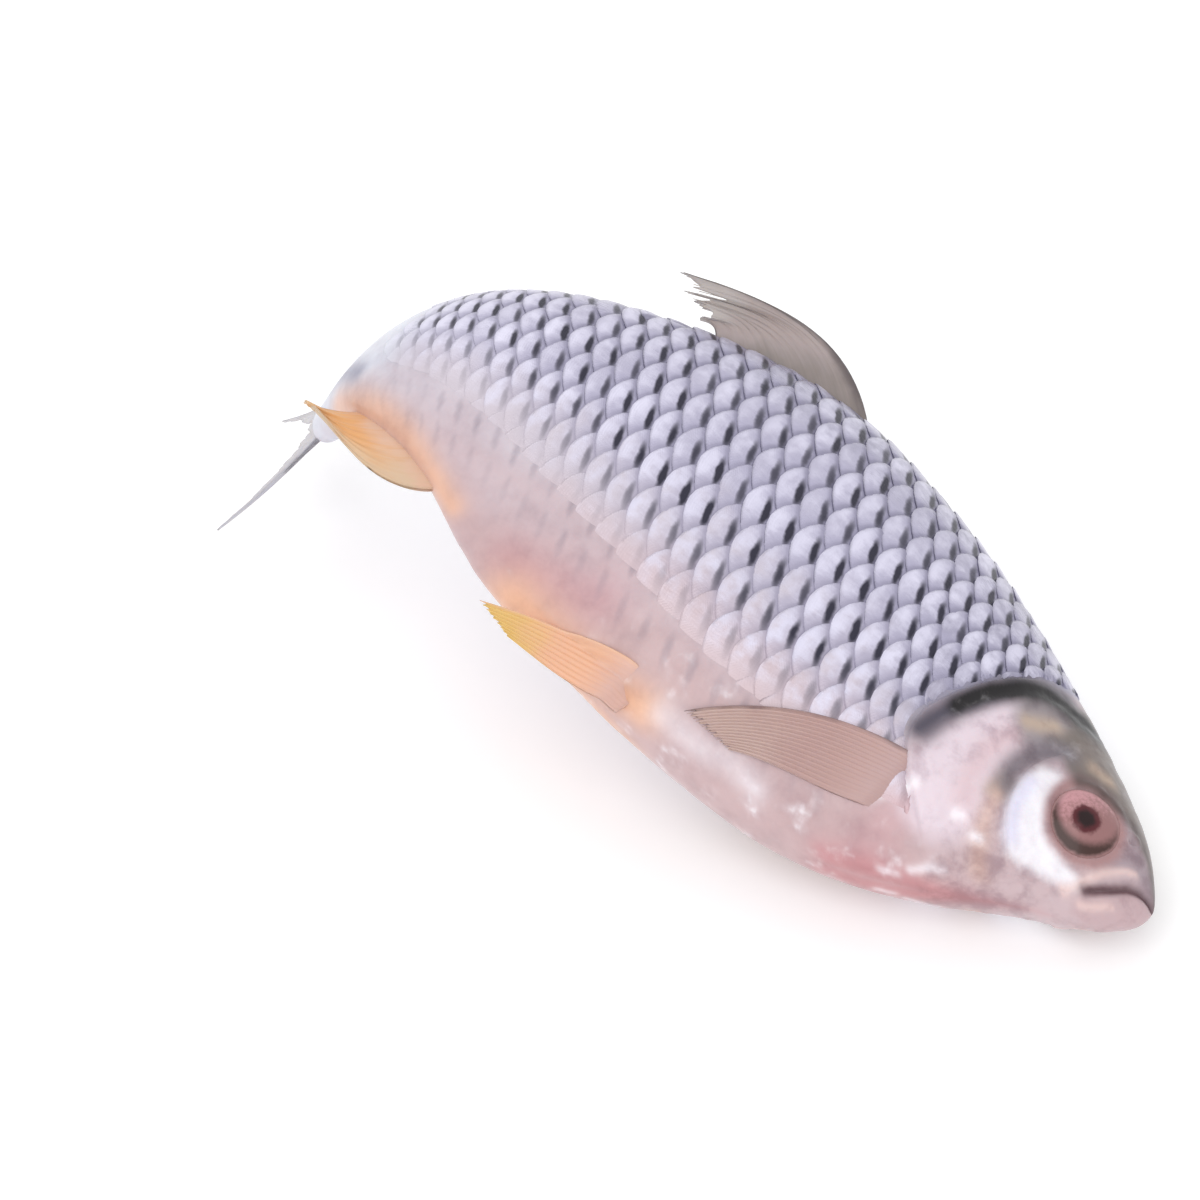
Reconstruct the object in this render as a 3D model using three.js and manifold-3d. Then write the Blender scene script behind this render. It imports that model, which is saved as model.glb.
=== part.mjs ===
import * as THREE from 'three';
import Module from 'manifold-3d';

// A whole raw carp-like fish lying on its left flank, millimetres, +Z up.
// It is drawn straight first: s runs from the snout (0) to the tail root (1)
// in body lengths, h points to the back and w to the right flank. A bent
// backbone then carries every point to its place.

// ---- driving sizes ----
const BODY_LENGTH = 225;
const SNOUT_S = -0.012;
const SNOUT_ROUND = 0.035;

// side outline of the body, [s, h] in body lengths
const BACK_LINE = [[-0.012, -0.014], [0, -0.004], [0.02, 0.014], [0.04, 0.033], [0.08, 0.063],
  [0.12, 0.09], [0.17, 0.121], [0.24, 0.162], [0.31, 0.194], [0.39, 0.217], [0.48, 0.231],
  [0.56, 0.226], [0.64, 0.204], [0.72, 0.169], [0.8, 0.13], [0.88, 0.098], [0.95, 0.084],
  [1, 0.079]];
const BELLY_LINE = [[-0.012, -0.07], [0.005, -0.067], [0.02, -0.072], [0.05, -0.085],
  [0.08, -0.095], [0.12, -0.113], [0.17, -0.137], [0.23, -0.159], [0.3, -0.174], [0.38, -0.179],
  [0.48, -0.176], [0.58, -0.168], [0.66, -0.15], [0.72, -0.125], [0.78, -0.098], [0.85, -0.068],
  [0.92, -0.04], [1, -0.02]];
const WIDEST_LINE = [[-0.012, -0.034], [0.05, -0.022], [0.12, -0.012], [0.25, 0], [0.45, 0.005],
  [0.65, 0.008], [0.8, 0.006], [1, 0.003]];
const HALF_WIDTH = [[-0.012, 0.022], [0.02, 0.036], [0.05, 0.049], [0.09, 0.062], [0.14, 0.074],
  [0.2, 0.084], [0.28, 0.091], [0.38, 0.094], [0.48, 0.09], [0.6, 0.077], [0.72, 0.057],
  [0.84, 0.039], [0.93, 0.026], [1, 0.016]];
// how sharp the back and the belly are: 1 is an ellipse, more is sharper
const BACK_SHARPNESS = [[0, 1], [0.12, 1.1], [0.3, 1.25], [1, 1.3]];
const BELLY_SHARPNESS = [[0, 1], [0.1, 0.9], [0.4, 0.85], [0.6, 1.05], [1, 1.2]];

// backbone bend, degrees and body lengths
const HEAD_RISE = 7.5;
const FRONT_RISE = 22;
const TAIL_DROP = 55;
const RISE_START = 0.15;
const RISE_END = 0.45;
const DROP_START = 0.693;
const DROP_END = 0.961;
const FIN_FLEX = 13.5;
const FLEX_START = 1.0;
const FLEX_END = 1.25;
const SIDE_SWEEP = 6.3;
const SWEEP_START = 0.45;
const SWEEP_END = 1.15;
const ROLL = 5;
const TAIL_ROLL = 8;
const TWIST_START = 0.5;
const TWIST_END = 1.1;
const SPINE_END = 1.45;
const SPINE_STEPS = 480;

// scales
// length of the part of a scale that shows, and distance between rows of
// scales, both [s, millimetres]; the first row starts this far above the widest line
const SCALE_PITCH = [[0.15, 5.2], [0.25, 6.2], [0.35, 7], [0.45, 6.5], [0.56, 6.1], [0.64, 5.6],
  [0.7, 4.9], [0.76, 4], [0.82, 3.4], [0.88, 5], [1, 7]];
const SCALE_ROW = [[0.15, 6.2], [0.25, 7.6], [0.35, 8.8], [0.46, 9.3], [0.58, 9.1], [0.7, 8],
  [0.78, 6.8], [0.88, 5.4], [1, 5]];
const ROW_START = [[0.15, -1.5], [0.35, -1.8], [0.45, -2.7], [0.6, -0.5], [0.7, 1.3], [1, 1]];
const SCALE_LIFT = 0.62;
const SCALE_CURVE = 0.9;
const SCALE_PHASES = [0.06, 0.44, 0.56, 0.94];
const SCALES_FROM = 0.15;
const BELLY_COARSE_ROW = -2.5;
const BELLY_SMOOTH_ROW = -3.5;
const BELLY_FULL_ROW = -1;
const BELLY_SCALE_SHARE = 0.12;
const SCALES_RISE = [0.002, 0.012];
const SCALES_END = [0.82, 0.88];
const SCALE_MIDDLE = 0.35;
const SCALE_UNEVEN = 0.3;
// room kept below the first and above the last column of a ring, in half rows
const BELLY_ROOM = 0.6;
const BACK_ROOM = 0.5;
const LAST_SCALE_RING = 0.999;
const BODY_END = 1.004;
// where the scales begin behind the head, [h, s]
const SCALE_FRONT = [[-0.2, 0.15], [-0.13, 0.17], [-0.08, 0.228], [-0.053, 0.247],
  [-0.031, 0.25], [-0.009, 0.243], [0.017, 0.23], [0.04, 0.216], [0.062, 0.2], [0.083, 0.185],
  [0.1, 0.165], [0.2, 0.15]];

// head
const HEAD_RINGS = 17;
const HEAD_RING_POWER = 1.25;
const HEAD_COLUMNS = 18;
const EYE_S = 0.073;
const EYE_H = -0.021;
const EYE_RADIUS = 7.2;
const EYE_BULGE = 1.9;
const SOCKET_RADIUS = 10.9;
const SOCKET_DEPTH = 0.9;
const SOCKET_WALL = 0.6;
const GILL_STEP = 1.1;
const GILL_STEP_WIDTH = 1.6;
// where the gill cover swells, along s, and where it fades, along h
const GILL_PLATE = [0.12, 0.2];
const GILL_FOOT = [-0.105, -0.075];
const GILL_TOP = [0.05, 0.08];
const CHEEK_GROOVE = 0.6;
const CHEEK_GROOVE_WIDTH = 1.6;
const MOUTH_FROM = [-0.014, -0.028];
const MOUTH_TO = [0.041, -0.07];
const MOUTH_DEPTH = 1.5;
const MOUTH_WIDTH = 1.5;
// rear edge of the cheek plate, [h, s]
const CHEEK_EDGE = [[-0.12, 0.08], [-0.086, 0.115], [-0.05, 0.14], [-0.02, 0.144], [0, 0.14],
  [0.03, 0.125], [0.08, 0.1]];

// fins: pairs hold the value at the first ray and at the last. rootS, rootH,
// tipS and tipH are places in body lengths, the rest are shares of it too
const FIN_EDGE_THICKNESS = 0.7;
const FIN_ROOT_THICKNESS = 1.7;
const FIN_THINS_BY = 0.35;
const RAY_RIDGE = 0.34;
const DORSAL_FIN = { rootS: [0.488, 0.64], sunk: 0.02, tipS: [0.706, 0.662], tipH: [0.232, 0.208],
  bow: [0.047, 0.014], fray: 0.008, frays: 21, wave: 0.006, waves: 9, lean: 0 };
const ANAL_FIN = { rootS: [0.742, 0.868], sunk: -0.014, tipS: [0.905, 0.95], tipH: [-0.074, -0.036],
  bow: [-0.04, -0.01], fray: 0.003, frays: 21, wave: 0.003, waves: 8, lean: 0.036 };
const TAIL_FIN = { rootS: 0.975, inset: 0.006, notch: 0.1, lobes: [0.178, 0.214], forkPower: 2,
  tipH: [-0.068, 0.106], flare: 1.2, fray: 0.004, frays: 40, wave: 0.005, waves: 11 };
const PECTORAL_FIN = { rootS: [0.228, 0.236], rootH: [-0.066, -0.122], length: [0.202, 0.14],
  fall: [0.088, 0.04], fallPower: 2.3, fan: [0, -0.014], sunk: 0.007, lift: 0.004 };
const PELVIC_FIN = { rootS: [0.475, 0.482], rootH: [-0.155, -0.178], length: [0.168, 0.12],
  fall: [0.034, 0.014], fallPower: 1.8, fan: [0.004, -0.01], sunk: 0.01, lift: 0.003 };
// the left one lies tucked up under the flank
const TUCKED_PELVIC_FIN = { rootS: [0.475, 0.482], rootH: [-0.134, -0.156], length: [0.15, 0.11],
  fall: [-0.012, -0.03], fallPower: 1.5, fan: [0.006, -0.006], sunk: 0.01, lift: 0.002 };
const BOW_POWER = 0.8;
const FIN_BELLY_GAP = 0.012;
// how finely each fin is divided: [across its rays, along them]
const DORSAL_GRID = [12, 5];
const ANAL_GRID = [8, 4];
const TAIL_GRID = [16, 5];
const PECTORAL_GRID = [6, 5];
const PELVIC_GRID = [4, 4];

// resting
const REST_CUT = 1.6;

// details finer than this are smoothed away
const FINEST = 0.02;

const radians = THREE.MathUtils.degToRad;
const smooth = THREE.MathUtils.smoothstep;
const lerp = THREE.MathUtils.lerp;

// ---- tables ----
// a smooth curve through [x, y] pairs that never overshoots them
function curve(pairs) {
  const last = pairs.length - 1;
  const slopes = pairs.map((pair, i) => {
    const a = pairs[Math.max(i - 1, 0)];
    const b = pairs[Math.min(i + 1, last)];
    const before = (pair[1] - a[1]) / (pair[0] - a[0] || 1);
    const after = (b[1] - pair[1]) / (b[0] - pair[0] || 1);
    if (i === 0) return after;
    if (i === last) return before;
    if (before * after <= 0) return 0;
    const mean = (before + after) / 2;
    const limit = 3 * Math.min(Math.abs(before), Math.abs(after));
    return Math.sign(mean) * Math.min(Math.abs(mean), limit);
  });
  return (x) => {
    let i = 0;
    while (i < last - 1 && x > pairs[i + 1][0]) i += 1;
    const [x0, y0] = pairs[i];
    const [x1, y1] = pairs[i + 1];
    const span = x1 - x0;
    const t = THREE.MathUtils.clamp((x - x0) / span, 0, 1);
    const rise = y0 * (1 + 2 * t) * (1 - t) ** 2 + slopes[i] * span * t * (1 - t) ** 2;
    return rise + y1 * t * t * (3 - 2 * t) + slopes[i + 1] * span * t * t * (t - 1);
  };
}

const backAt = curve(BACK_LINE);
const bellyAt = curve(BELLY_LINE);
const widestAt = curve(WIDEST_LINE);
const halfWidthAt = curve(HALF_WIDTH);
const backSharpness = curve(BACK_SHARPNESS);
const bellySharpness = curve(BELLY_SHARPNESS);
const scaleFrontAt = curve(SCALE_FRONT);
const cheekEdgeAt = curve(CHEEK_EDGE);
const scalePitch = curve(SCALE_PITCH);
const scaleRow = curve(SCALE_ROW);
const rowStart = curve(ROW_START);

// a repeatable number between 0 and 1 for a pair of whole numbers
function hash(a, b) {
  const x = Math.sin(a * 127.1 + b * 311.7) * 43758.5453;
  return x - Math.floor(x);
}

// ---- backbone ----
function turnAt(s) {
  const rise = lerp(HEAD_RISE, FRONT_RISE, smooth(s, RISE_START, RISE_END));
  const drop = (FRONT_RISE + TAIL_DROP) * smooth(s, DROP_START, DROP_END);
  const flex = FIN_FLEX * smooth(s, FLEX_START, FLEX_END);
  const pitch = radians(rise - drop + flex);
  const sweep = radians(SIDE_SWEEP * smooth(s, SWEEP_START, SWEEP_END));
  const roll = radians(lerp(ROLL, TAIL_ROLL, smooth(s, TWIST_START, TWIST_END)));
  const along = new THREE.Vector3(
    -Math.cos(pitch) * Math.cos(sweep), -Math.cos(pitch) * Math.sin(sweep), Math.sin(pitch));
  const flank = new THREE.Vector3(Math.sin(pitch), 0, Math.cos(pitch));
  flank.addScaledVector(along, -flank.dot(along)).normalize();
  const back = new THREE.Vector3().crossVectors(along, flank).normalize();
  const w = flank.clone().multiplyScalar(Math.cos(roll)).addScaledVector(back, -Math.sin(roll));
  const h = back.clone().multiplyScalar(Math.cos(roll)).addScaledVector(flank, Math.sin(roll));
  return { along, w, h };
}

function makeSpine() {
  const spine = [];
  const place = new THREE.Vector3();
  const step = SPINE_END / SPINE_STEPS;
  for (let i = 0; i <= SPINE_STEPS; i += 1) {
    const frame = turnAt(i * step);
    spine.push({ place: place.clone(), ...frame });
    place.addScaledVector(frame.along, step * BODY_LENGTH);
  }
  return spine;
}

const SPINE = makeSpine();

// the point at s body lengths along the backbone, h and w in millimetres off it
function bend(s, h, w) {
  const at = THREE.MathUtils.clamp(s / SPINE_END, 0, 1) * SPINE_STEPS;
  const i = Math.min(Math.floor(at), SPINE_STEPS - 1);
  const t = at - i;
  const a = SPINE[i];
  const b = SPINE[i + 1];
  const point = a.place.clone().lerp(b.place, t);
  point.addScaledVector(a.h.clone().lerp(b.h, t), h);
  point.addScaledVector(a.w.clone().lerp(b.w, t), w);
  if (s < 0) point.addScaledVector(a.along, s * BODY_LENGTH);
  return point;
}

// ---- body sections ----
// the right half of the section at s: turn -90 degrees is the belly, 90 the back
function sectionPoint(s, turn) {
  const rounded = Math.min((s - SNOUT_S) / SNOUT_ROUND, 1);
  const nose = Math.sqrt(Math.max(1 - (1 - rounded) ** 2, 0));
  const middle = widestAt(s);
  const up = Math.sin(turn);
  const reach = up > 0 ? backAt(s) - middle : middle - bellyAt(s);
  const sharp = up > 0 ? backSharpness(s) : bellySharpness(s);
  const side = Math.pow(Math.max(Math.cos(turn), 0), sharp);
  const h = middle + reach * nose * up;
  const w = halfWidthAt(s) * nose * side;
  return [h * BODY_LENGTH, w * BODY_LENGTH];
}

const ARC_STEPS = 64;
const NORMAL_STEP = 0.02;
// head relief fades out near the back and belly ridges, which stay this thick
const RIDGE_FADE = [0.05, 0.35];
const RIDGE_HALF = 0.3;

// lengths along the half section, measured from its widest point
function arcTable(s) {
  const turns = [];
  const lengths = [];
  let total = 0;
  let before = null;
  for (let i = 0; i <= ARC_STEPS; i += 1) {
    const turn = -Math.PI / 2 + (Math.PI * i) / ARC_STEPS;
    const point = sectionPoint(s, turn);
    if (before) total += Math.hypot(point[0] - before[0], point[1] - before[1]);
    before = point;
    turns.push(turn);
    lengths.push(total);
  }
  const zero = lengths[ARC_STEPS / 2];
  return { turns, lengths: lengths.map((value) => value - zero) };
}

function turnForArc(table, arc) {
  let i = 0;
  while (i < ARC_STEPS - 1 && arc > table.lengths[i + 1]) i += 1;
  const span = table.lengths[i + 1] - table.lengths[i] || 1;
  const t = THREE.MathUtils.clamp((arc - table.lengths[i]) / span, 0, 1);
  return lerp(table.turns[i], table.turns[i + 1], t);
}

function sectionNormal(s, turn) {
  const a = sectionPoint(s, Math.max(turn - NORMAL_STEP, -Math.PI / 2));
  const b = sectionPoint(s, Math.min(turn + NORMAL_STEP, Math.PI / 2));
  const length = Math.hypot(b[0] - a[0], b[1] - a[1]) || 1;
  return [-(b[1] - a[1]) / length, (b[0] - a[0]) / length];
}

// ---- relief ----
// height, 0 to 1, of the overlapping scales at a phase along and a row across
function shingle(phase, row) {
  let top = -1;
  for (let j = Math.floor(row) - 1; j <= Math.floor(row) + 2; j += 1) {
    const across = row - j;
    if (Math.abs(across) <= 1) {
      const offset = Math.abs(j) % 2 === 1 ? 0 : 0.5;
      const back = SCALE_CURVE * across * across;
      const apex = Math.ceil(phase + back - offset) + offset;
      const lift = 1 + SCALE_UNEVEN * (hash(apex * 2, j) - 0.5);
      top = Math.max(top, (1 - (apex - phase)) * lift);
    }
  }
  return top;
}

function scaleStrength(s, h, row) {
  const behindHead = smooth(s - scaleFrontAt(h / BODY_LENGTH), ...SCALES_RISE);
  const tail = 1 - smooth(s, ...SCALES_END);
  const belly = lerp(BELLY_SCALE_SHARE, 1, smooth(row, BELLY_SMOOTH_ROW, BELLY_FULL_ROW));
  return behindHead * tail * belly;
}

function segmentDistance(x, y, from, to) {
  const dx = to[0] - from[0];
  const dy = to[1] - from[1];
  const t = THREE.MathUtils.clamp(((x - from[0]) * dx + (y - from[1]) * dy) / (dx * dx + dy * dy), 0, 1);
  return Math.hypot(x - from[0] - t * dx, y - from[1] - t * dy) * BODY_LENGTH;
}

function groove(distance, width) {
  return Math.exp(-((distance / width) ** 2));
}

function eyeRelief(s, h) {
  const away = Math.hypot((s - EYE_S) * BODY_LENGTH, h - EYE_H * BODY_LENGTH);
  if (away < EYE_RADIUS) return EYE_BULGE * (1 - (away / EYE_RADIUS) ** 2);
  const wall = EYE_RADIUS + SOCKET_WALL;
  return -SOCKET_DEPTH * smooth(away, EYE_RADIUS, wall) * (1 - smooth(away, wall, SOCKET_RADIUS));
}

function headRelief(s, h) {
  const share = h / BODY_LENGTH;
  const pastGill = (s - scaleFrontAt(share)) * BODY_LENGTH;
  const pastCheek = (s - cheekEdgeAt(share)) * BODY_LENGTH;
  const side = smooth(share, ...GILL_FOOT) * (1 - smooth(share, ...GILL_TOP));
  const plate = smooth(s, ...GILL_PLATE) * (1 - smooth(pastGill, 0, GILL_STEP_WIDTH));
  const cheek = groove(pastCheek, CHEEK_GROOVE_WIDTH);
  const mouth = groove(segmentDistance(s, share, MOUTH_FROM, MOUTH_TO), MOUTH_WIDTH);
  return (GILL_STEP * plate - CHEEK_GROOVE * cheek) * side - MOUTH_DEPTH * mouth + eyeRelief(s, h);
}

// ---- body mesh ----
// a half ring is a list of columns from belly to back with their row keys
function halfRing(s, arcs, phase) {
  const table = arcTable(s);
  const low = table.lengths[0];
  const high = table.lengths[ARC_STEPS];
  const wanted = arcs(low, high, s);
  return [low, ...wanted, high].map((arc) => {
    const turn = turnForArc(table, arc);
    const row = (arc - rowStart(s)) / scaleRow(s);
    const [h, w] = sectionPoint(s, turn);
    const [nh, nw] = sectionNormal(s, turn);
    const edge = arc === low || arc === high;
    let relief = headRelief(s, h) * smooth(Math.cos(turn), ...RIDGE_FADE);
    if (phase !== null) {
      relief += SCALE_LIFT * scaleStrength(s, h, row) * (shingle(phase, row) - SCALE_MIDDLE);
    }
    const outH = h + nh * relief;
    const outW = edge ? 0 : Math.max(w + nw * relief, RIDGE_HALF);
    return { key: row, s, h: outH, w: outW, edge };
  });
}

function headArcs(low, high) {
  const arcs = [];
  for (let i = 1; i < HEAD_COLUMNS; i += 1) arcs.push(lerp(low, high, i / HEAD_COLUMNS));
  return arcs;
}

// columns on the rows of scales and between them, fewer on the belly; the
// flank it lies on has columns on the rows only
function scaleArcs(low, high, s, finest) {
  const half = scaleRow(s) / 2;
  const zero = rowStart(s);
  const arcs = [];
  for (let i = Math.ceil((low - zero) / half); zero + i * half < high; i += 1) {
    const row = i / 2;
    const arc = zero + i * half;
    const coarse = row < BELLY_COARSE_ROW ? 2 : finest;
    const step = row < BELLY_SMOOTH_ROW ? 2 * coarse : coarse;
    const clear = arc - low > half * BELLY_ROOM && high - arc > half * BACK_ROOM;
    if (clear && i % step === 0) arcs.push(arc);
  }
  return arcs;
}

const rightArcs = (low, high, s) => scaleArcs(low, high, s, 1);
const leftArcs = (low, high, s) => scaleArcs(low, high, s, 2);

function ringPair(s, rightColumns, leftColumns, phase) {
  return { right: halfRing(s, rightColumns, phase), left: halfRing(s, leftColumns, phase) };
}

function bodyRings() {
  const rings = [];
  for (let i = 1; i <= HEAD_RINGS; i += 1) {
    const s = lerp(SNOUT_S, SCALES_FROM, Math.pow(i / (HEAD_RINGS + 1), HEAD_RING_POWER));
    rings.push(ringPair(s, headArcs, headArcs, null));
  }
  let start = SCALES_FROM;
  for (let cell = 0; start < 1; cell += 1) {
    const pitch = scalePitch(start) / BODY_LENGTH;
    for (const phase of SCALE_PHASES) {
      const s = start + phase * pitch;
      if (s < LAST_SCALE_RING) rings.push(ringPair(s, rightArcs, leftArcs, cell + phase));
    }
    start += pitch;
  }
  rings.push(ringPair(1, rightArcs, leftArcs, null));
  return rings;
}

function meshFromTriangles(points, triangles) {
  const positions = new Float32Array(points.flatMap((p) => [p.x, p.y, p.z]));
  return { positions, indices: new Uint32Array(triangles) };
}

// joins two columns of vertices of any lengths with triangles
function zip(triangles, first, second, flip) {
  const add = (a, b, c) => triangles.push(...(flip ? [a, b, c] : [a, c, b]));
  let i = 0;
  let j = 0;
  while (i < first.length - 1 || j < second.length - 1) {
    const nextFirst = i < first.length - 1 ? first[i + 1].key : Infinity;
    const nextSecond = j < second.length - 1 ? second[j + 1].key : Infinity;
    if (nextFirst <= nextSecond) {
      add(first[i].index, second[j].index, first[i + 1].index);
      i += 1;
    } else {
      add(first[i].index, second[j].index, second[j + 1].index);
      j += 1;
    }
  }
}

function bodyMesh() {
  const points = [];
  const triangles = [];
  const tip = widestAt(SNOUT_S) * BODY_LENGTH;
  points.push(bend(SNOUT_S, tip, 0));
  const sides = bodyRings().map((ring) => {
    const right = ring.right.map((column) => {
      points.push(bend(column.s, column.h, column.w));
      return { key: column.key, index: points.length - 1 };
    });
    const left = ring.left.map((column, i) => {
      if (column.edge) return i === 0 ? right[0] : right[right.length - 1];
      points.push(bend(column.s, column.h, -column.w));
      return { key: column.key, index: points.length - 1 };
    });
    return { right, left };
  });
  const nose = [{ key: 0, index: 0 }];
  zip(triangles, nose, sides[0].right, false);
  zip(triangles, nose, sides[0].left, true);
  for (let i = 0; i < sides.length - 1; i += 1) {
    zip(triangles, sides[i].right, sides[i + 1].right, false);
    zip(triangles, sides[i].left, sides[i + 1].left, true);
  }
  points.push(bend(BODY_END, 0, 0));
  const end = [{ key: 0, index: points.length - 1 }];
  const last = sides[sides.length - 1];
  zip(triangles, last.right, end, false);
  zip(triangles, last.left, end, true);
  return meshFromTriangles(points, triangles);
}

// ---- fins ----
// a fin is a sheet of rays: ray(u, v) gives [s, h, w] in body lengths, u across
// the rays and v from root to tip; its thickness is put on along w
function finMesh([columns, rows], ray) {
  const points = [];
  const triangles = [];
  const at = (side, i, j) => (side * (columns + 1) + i) * (rows + 1) + j;
  for (const side of [1, -1]) {
    for (let i = 0; i <= columns; i += 1) {
      for (let j = 0; j <= rows; j += 1) {
        const [s, h, w] = ray(i / columns, j / rows);
        const ridge = i % 2 === 0 ? RAY_RIDGE : 0;
        const thick = finHalf(j / rows) + ridge * (1 - j / rows / 2);
        points.push(bend(s, h * BODY_LENGTH, w * BODY_LENGTH + side * thick));
      }
    }
  }
  for (let i = 0; i < columns; i += 1) {
    for (let j = 0; j < rows; j += 1) {
      triangles.push(at(0, i, j), at(0, i + 1, j + 1), at(0, i + 1, j));
      triangles.push(at(0, i, j), at(0, i, j + 1), at(0, i + 1, j + 1));
      triangles.push(at(1, i, j), at(1, i + 1, j), at(1, i + 1, j + 1));
      triangles.push(at(1, i, j), at(1, i + 1, j + 1), at(1, i, j + 1));
    }
  }
  const rim = [];
  for (let i = 0; i < columns; i += 1) rim.push([i, 0]);
  for (let j = 0; j < rows; j += 1) rim.push([columns, j]);
  for (let i = columns; i > 0; i -= 1) rim.push([i, rows]);
  for (let j = rows; j > 0; j -= 1) rim.push([0, j]);
  rim.forEach(([i, j], k) => {
    const [m, n] = rim[(k + 1) % rim.length];
    triangles.push(at(0, i, j), at(1, m, n), at(1, i, j));
    triangles.push(at(0, i, j), at(0, m, n), at(1, m, n));
  });
  return meshFromTriangles(points, triangles);
}

function finHalf(v) {
  return lerp(FIN_ROOT_THICKNESS, FIN_EDGE_THICKNESS, smooth(v, 0, FIN_THINS_BY)) / 2;
}

// a fin on the back or the belly line, folded back along the body and leaning
// over the right flank
function foldedRay(fin, edgeAt) {
  return (u, v) => {
    const rootS = lerp(...fin.rootS, u);
    const tipS = lerp(...fin.tipS, u) + fin.fray * Math.sin(u * fin.frays);
    const bow = lerp(...fin.bow, u) * Math.sin(Math.PI * v ** BOW_POWER);
    const h = lerp(edgeAt(rootS) - fin.sunk, lerp(...fin.tipH, u), v) + bow;
    const w = (fin.wave * Math.sin(u * fin.waves + v) + fin.lean) * v;
    return [lerp(rootS, tipS, v), h, w];
  };
}

// the forked tail fin, half folded: its upper lobe is the longer one
function tailRay(u, v) {
  const fin = TAIL_FIN;
  const side = 2 * u - 1;
  const root = lerp(bellyAt(1) + fin.inset, backAt(1) - fin.inset, u);
  const lobe = fin.lobes[side < 0 ? 0 : 1];
  const fray = fin.fray * Math.sin(u * fin.frays);
  const length = lerp(fin.notch, lobe, Math.abs(side) ** fin.forkPower) + fray;
  const h = lerp(root, lerp(...fin.tipH, u), v ** fin.flare);
  return [fin.rootS + length * v, h, fin.wave * Math.sin(u * fin.waves) * v * (1 - v)];
}

// half width of the body skin at s and h, in body lengths
function skinAt(s, h) {
  const middle = widestAt(s);
  const reach = h > middle ? backAt(s) - middle : middle - bellyAt(s);
  const up = THREE.MathUtils.clamp((h - middle) / reach, -1, 1);
  const sharp = h > middle ? backSharpness(s) : bellySharpness(s);
  return halfWidthAt(s) * Math.pow(Math.sqrt(1 - up * up), sharp);
}

// a paired fin, rooted under the skin and lying back along the flank
function lyingRay(fin) {
  return (u, v) => {
    const s = lerp(...fin.rootS, u) + lerp(...fin.length, u) * v;
    const fan = lerp(...fin.fan, u) * Math.sin(Math.PI * v ** BOW_POWER);
    const h = lerp(...fin.rootH, u) - lerp(...fin.fall, u) * v ** fin.fallPower + fan;
    const skin = skinAt(s, Math.max(h, bellyAt(s) + FIN_BELLY_GAP));
    const sunk = fin.sunk * (1 - smooth(v, 0, FIN_THINS_BY));
    return [s, h, Math.max(skin, FIN_BELLY_GAP) - sunk + fin.lift * v];
  };
}

function mirrored(ray) {
  return (u, v) => {
    const [s, h, w] = ray(1 - u, v);
    return [s, h, -w];
  };
}

// ---- joining ----
const wasm = await Module();
wasm.setup();

function rawSolid(positions, indices) {
  return new wasm.Manifold(
    new wasm.Mesh({ numProp: 3, vertProperties: positions, triVerts: indices }));
}

// a solid that faces outward whichever way its triangles were listed
function solidFrom({ positions, indices }) {
  const solid = rawSolid(positions, indices);
  return solid.volume() > 0 ? solid : rawSolid(positions, indices.slice().reverse());
}

function joinFish() {
  const pectoral = lyingRay(PECTORAL_FIN);
  const pelvic = lyingRay(PELVIC_FIN);
  const tuckedPelvic = lyingRay(TUCKED_PELVIC_FIN);
  const fins = [
    finMesh(DORSAL_GRID, foldedRay(DORSAL_FIN, backAt)),
    finMesh(ANAL_GRID, foldedRay(ANAL_FIN, bellyAt)),
    finMesh(TAIL_GRID, tailRay),
    finMesh(PECTORAL_GRID, pectoral),
    finMesh(PECTORAL_GRID, mirrored(pectoral)),
    finMesh(PELVIC_GRID, pelvic),
    finMesh(PELVIC_GRID, mirrored(tuckedPelvic)),
  ];
  return fins.reduce((whole, fin) => whole.add(solidFrom(fin)), solidFrom(bodyMesh()));
}

// cuts the small flat spots it rests on, sets them on the floor and fills any
// hollow closed in under a fin
function settle(solid) {
  const low = solid.boundingBox().min[2] + REST_CUT;
  const cut = solid.trimByPlane([0, 0, 1], low).translate([0, 0, -low]).simplify(FINEST);
  return cut.decompose().reduce((a, b) => (b.volume() > a.volume() ? b : a));
}

function geometryOf(solid) {
  const mesh = solid.getMesh();
  const geometry = new THREE.BufferGeometry();
  geometry.setAttribute('position', new THREE.BufferAttribute(new Float32Array(mesh.vertProperties), 3));
  geometry.setIndex(new THREE.BufferAttribute(new Uint32Array(mesh.triVerts), 1));
  geometry.computeBoundingBox();
  const centre = geometry.boundingBox.getCenter(new THREE.Vector3());
  geometry.translate(-centre.x, -centre.y, -geometry.boundingBox.min.z);
  geometry.computeVertexNormals();
  return geometry;
}

const material = new THREE.MeshStandardMaterial({ color: 0xb9b6c6, roughness: 0.4, metalness: 0.1 });
const fish = new THREE.Mesh(geometryOf(settle(joinFish())), material);
fish.name = 'fish';

const group = new THREE.Group();
group.name = 'whole_fish';
group.add(fish);

export default group;
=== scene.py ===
import math

import bmesh
import bpy
import numpy as np
from mathutils import Matrix, Vector


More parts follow.
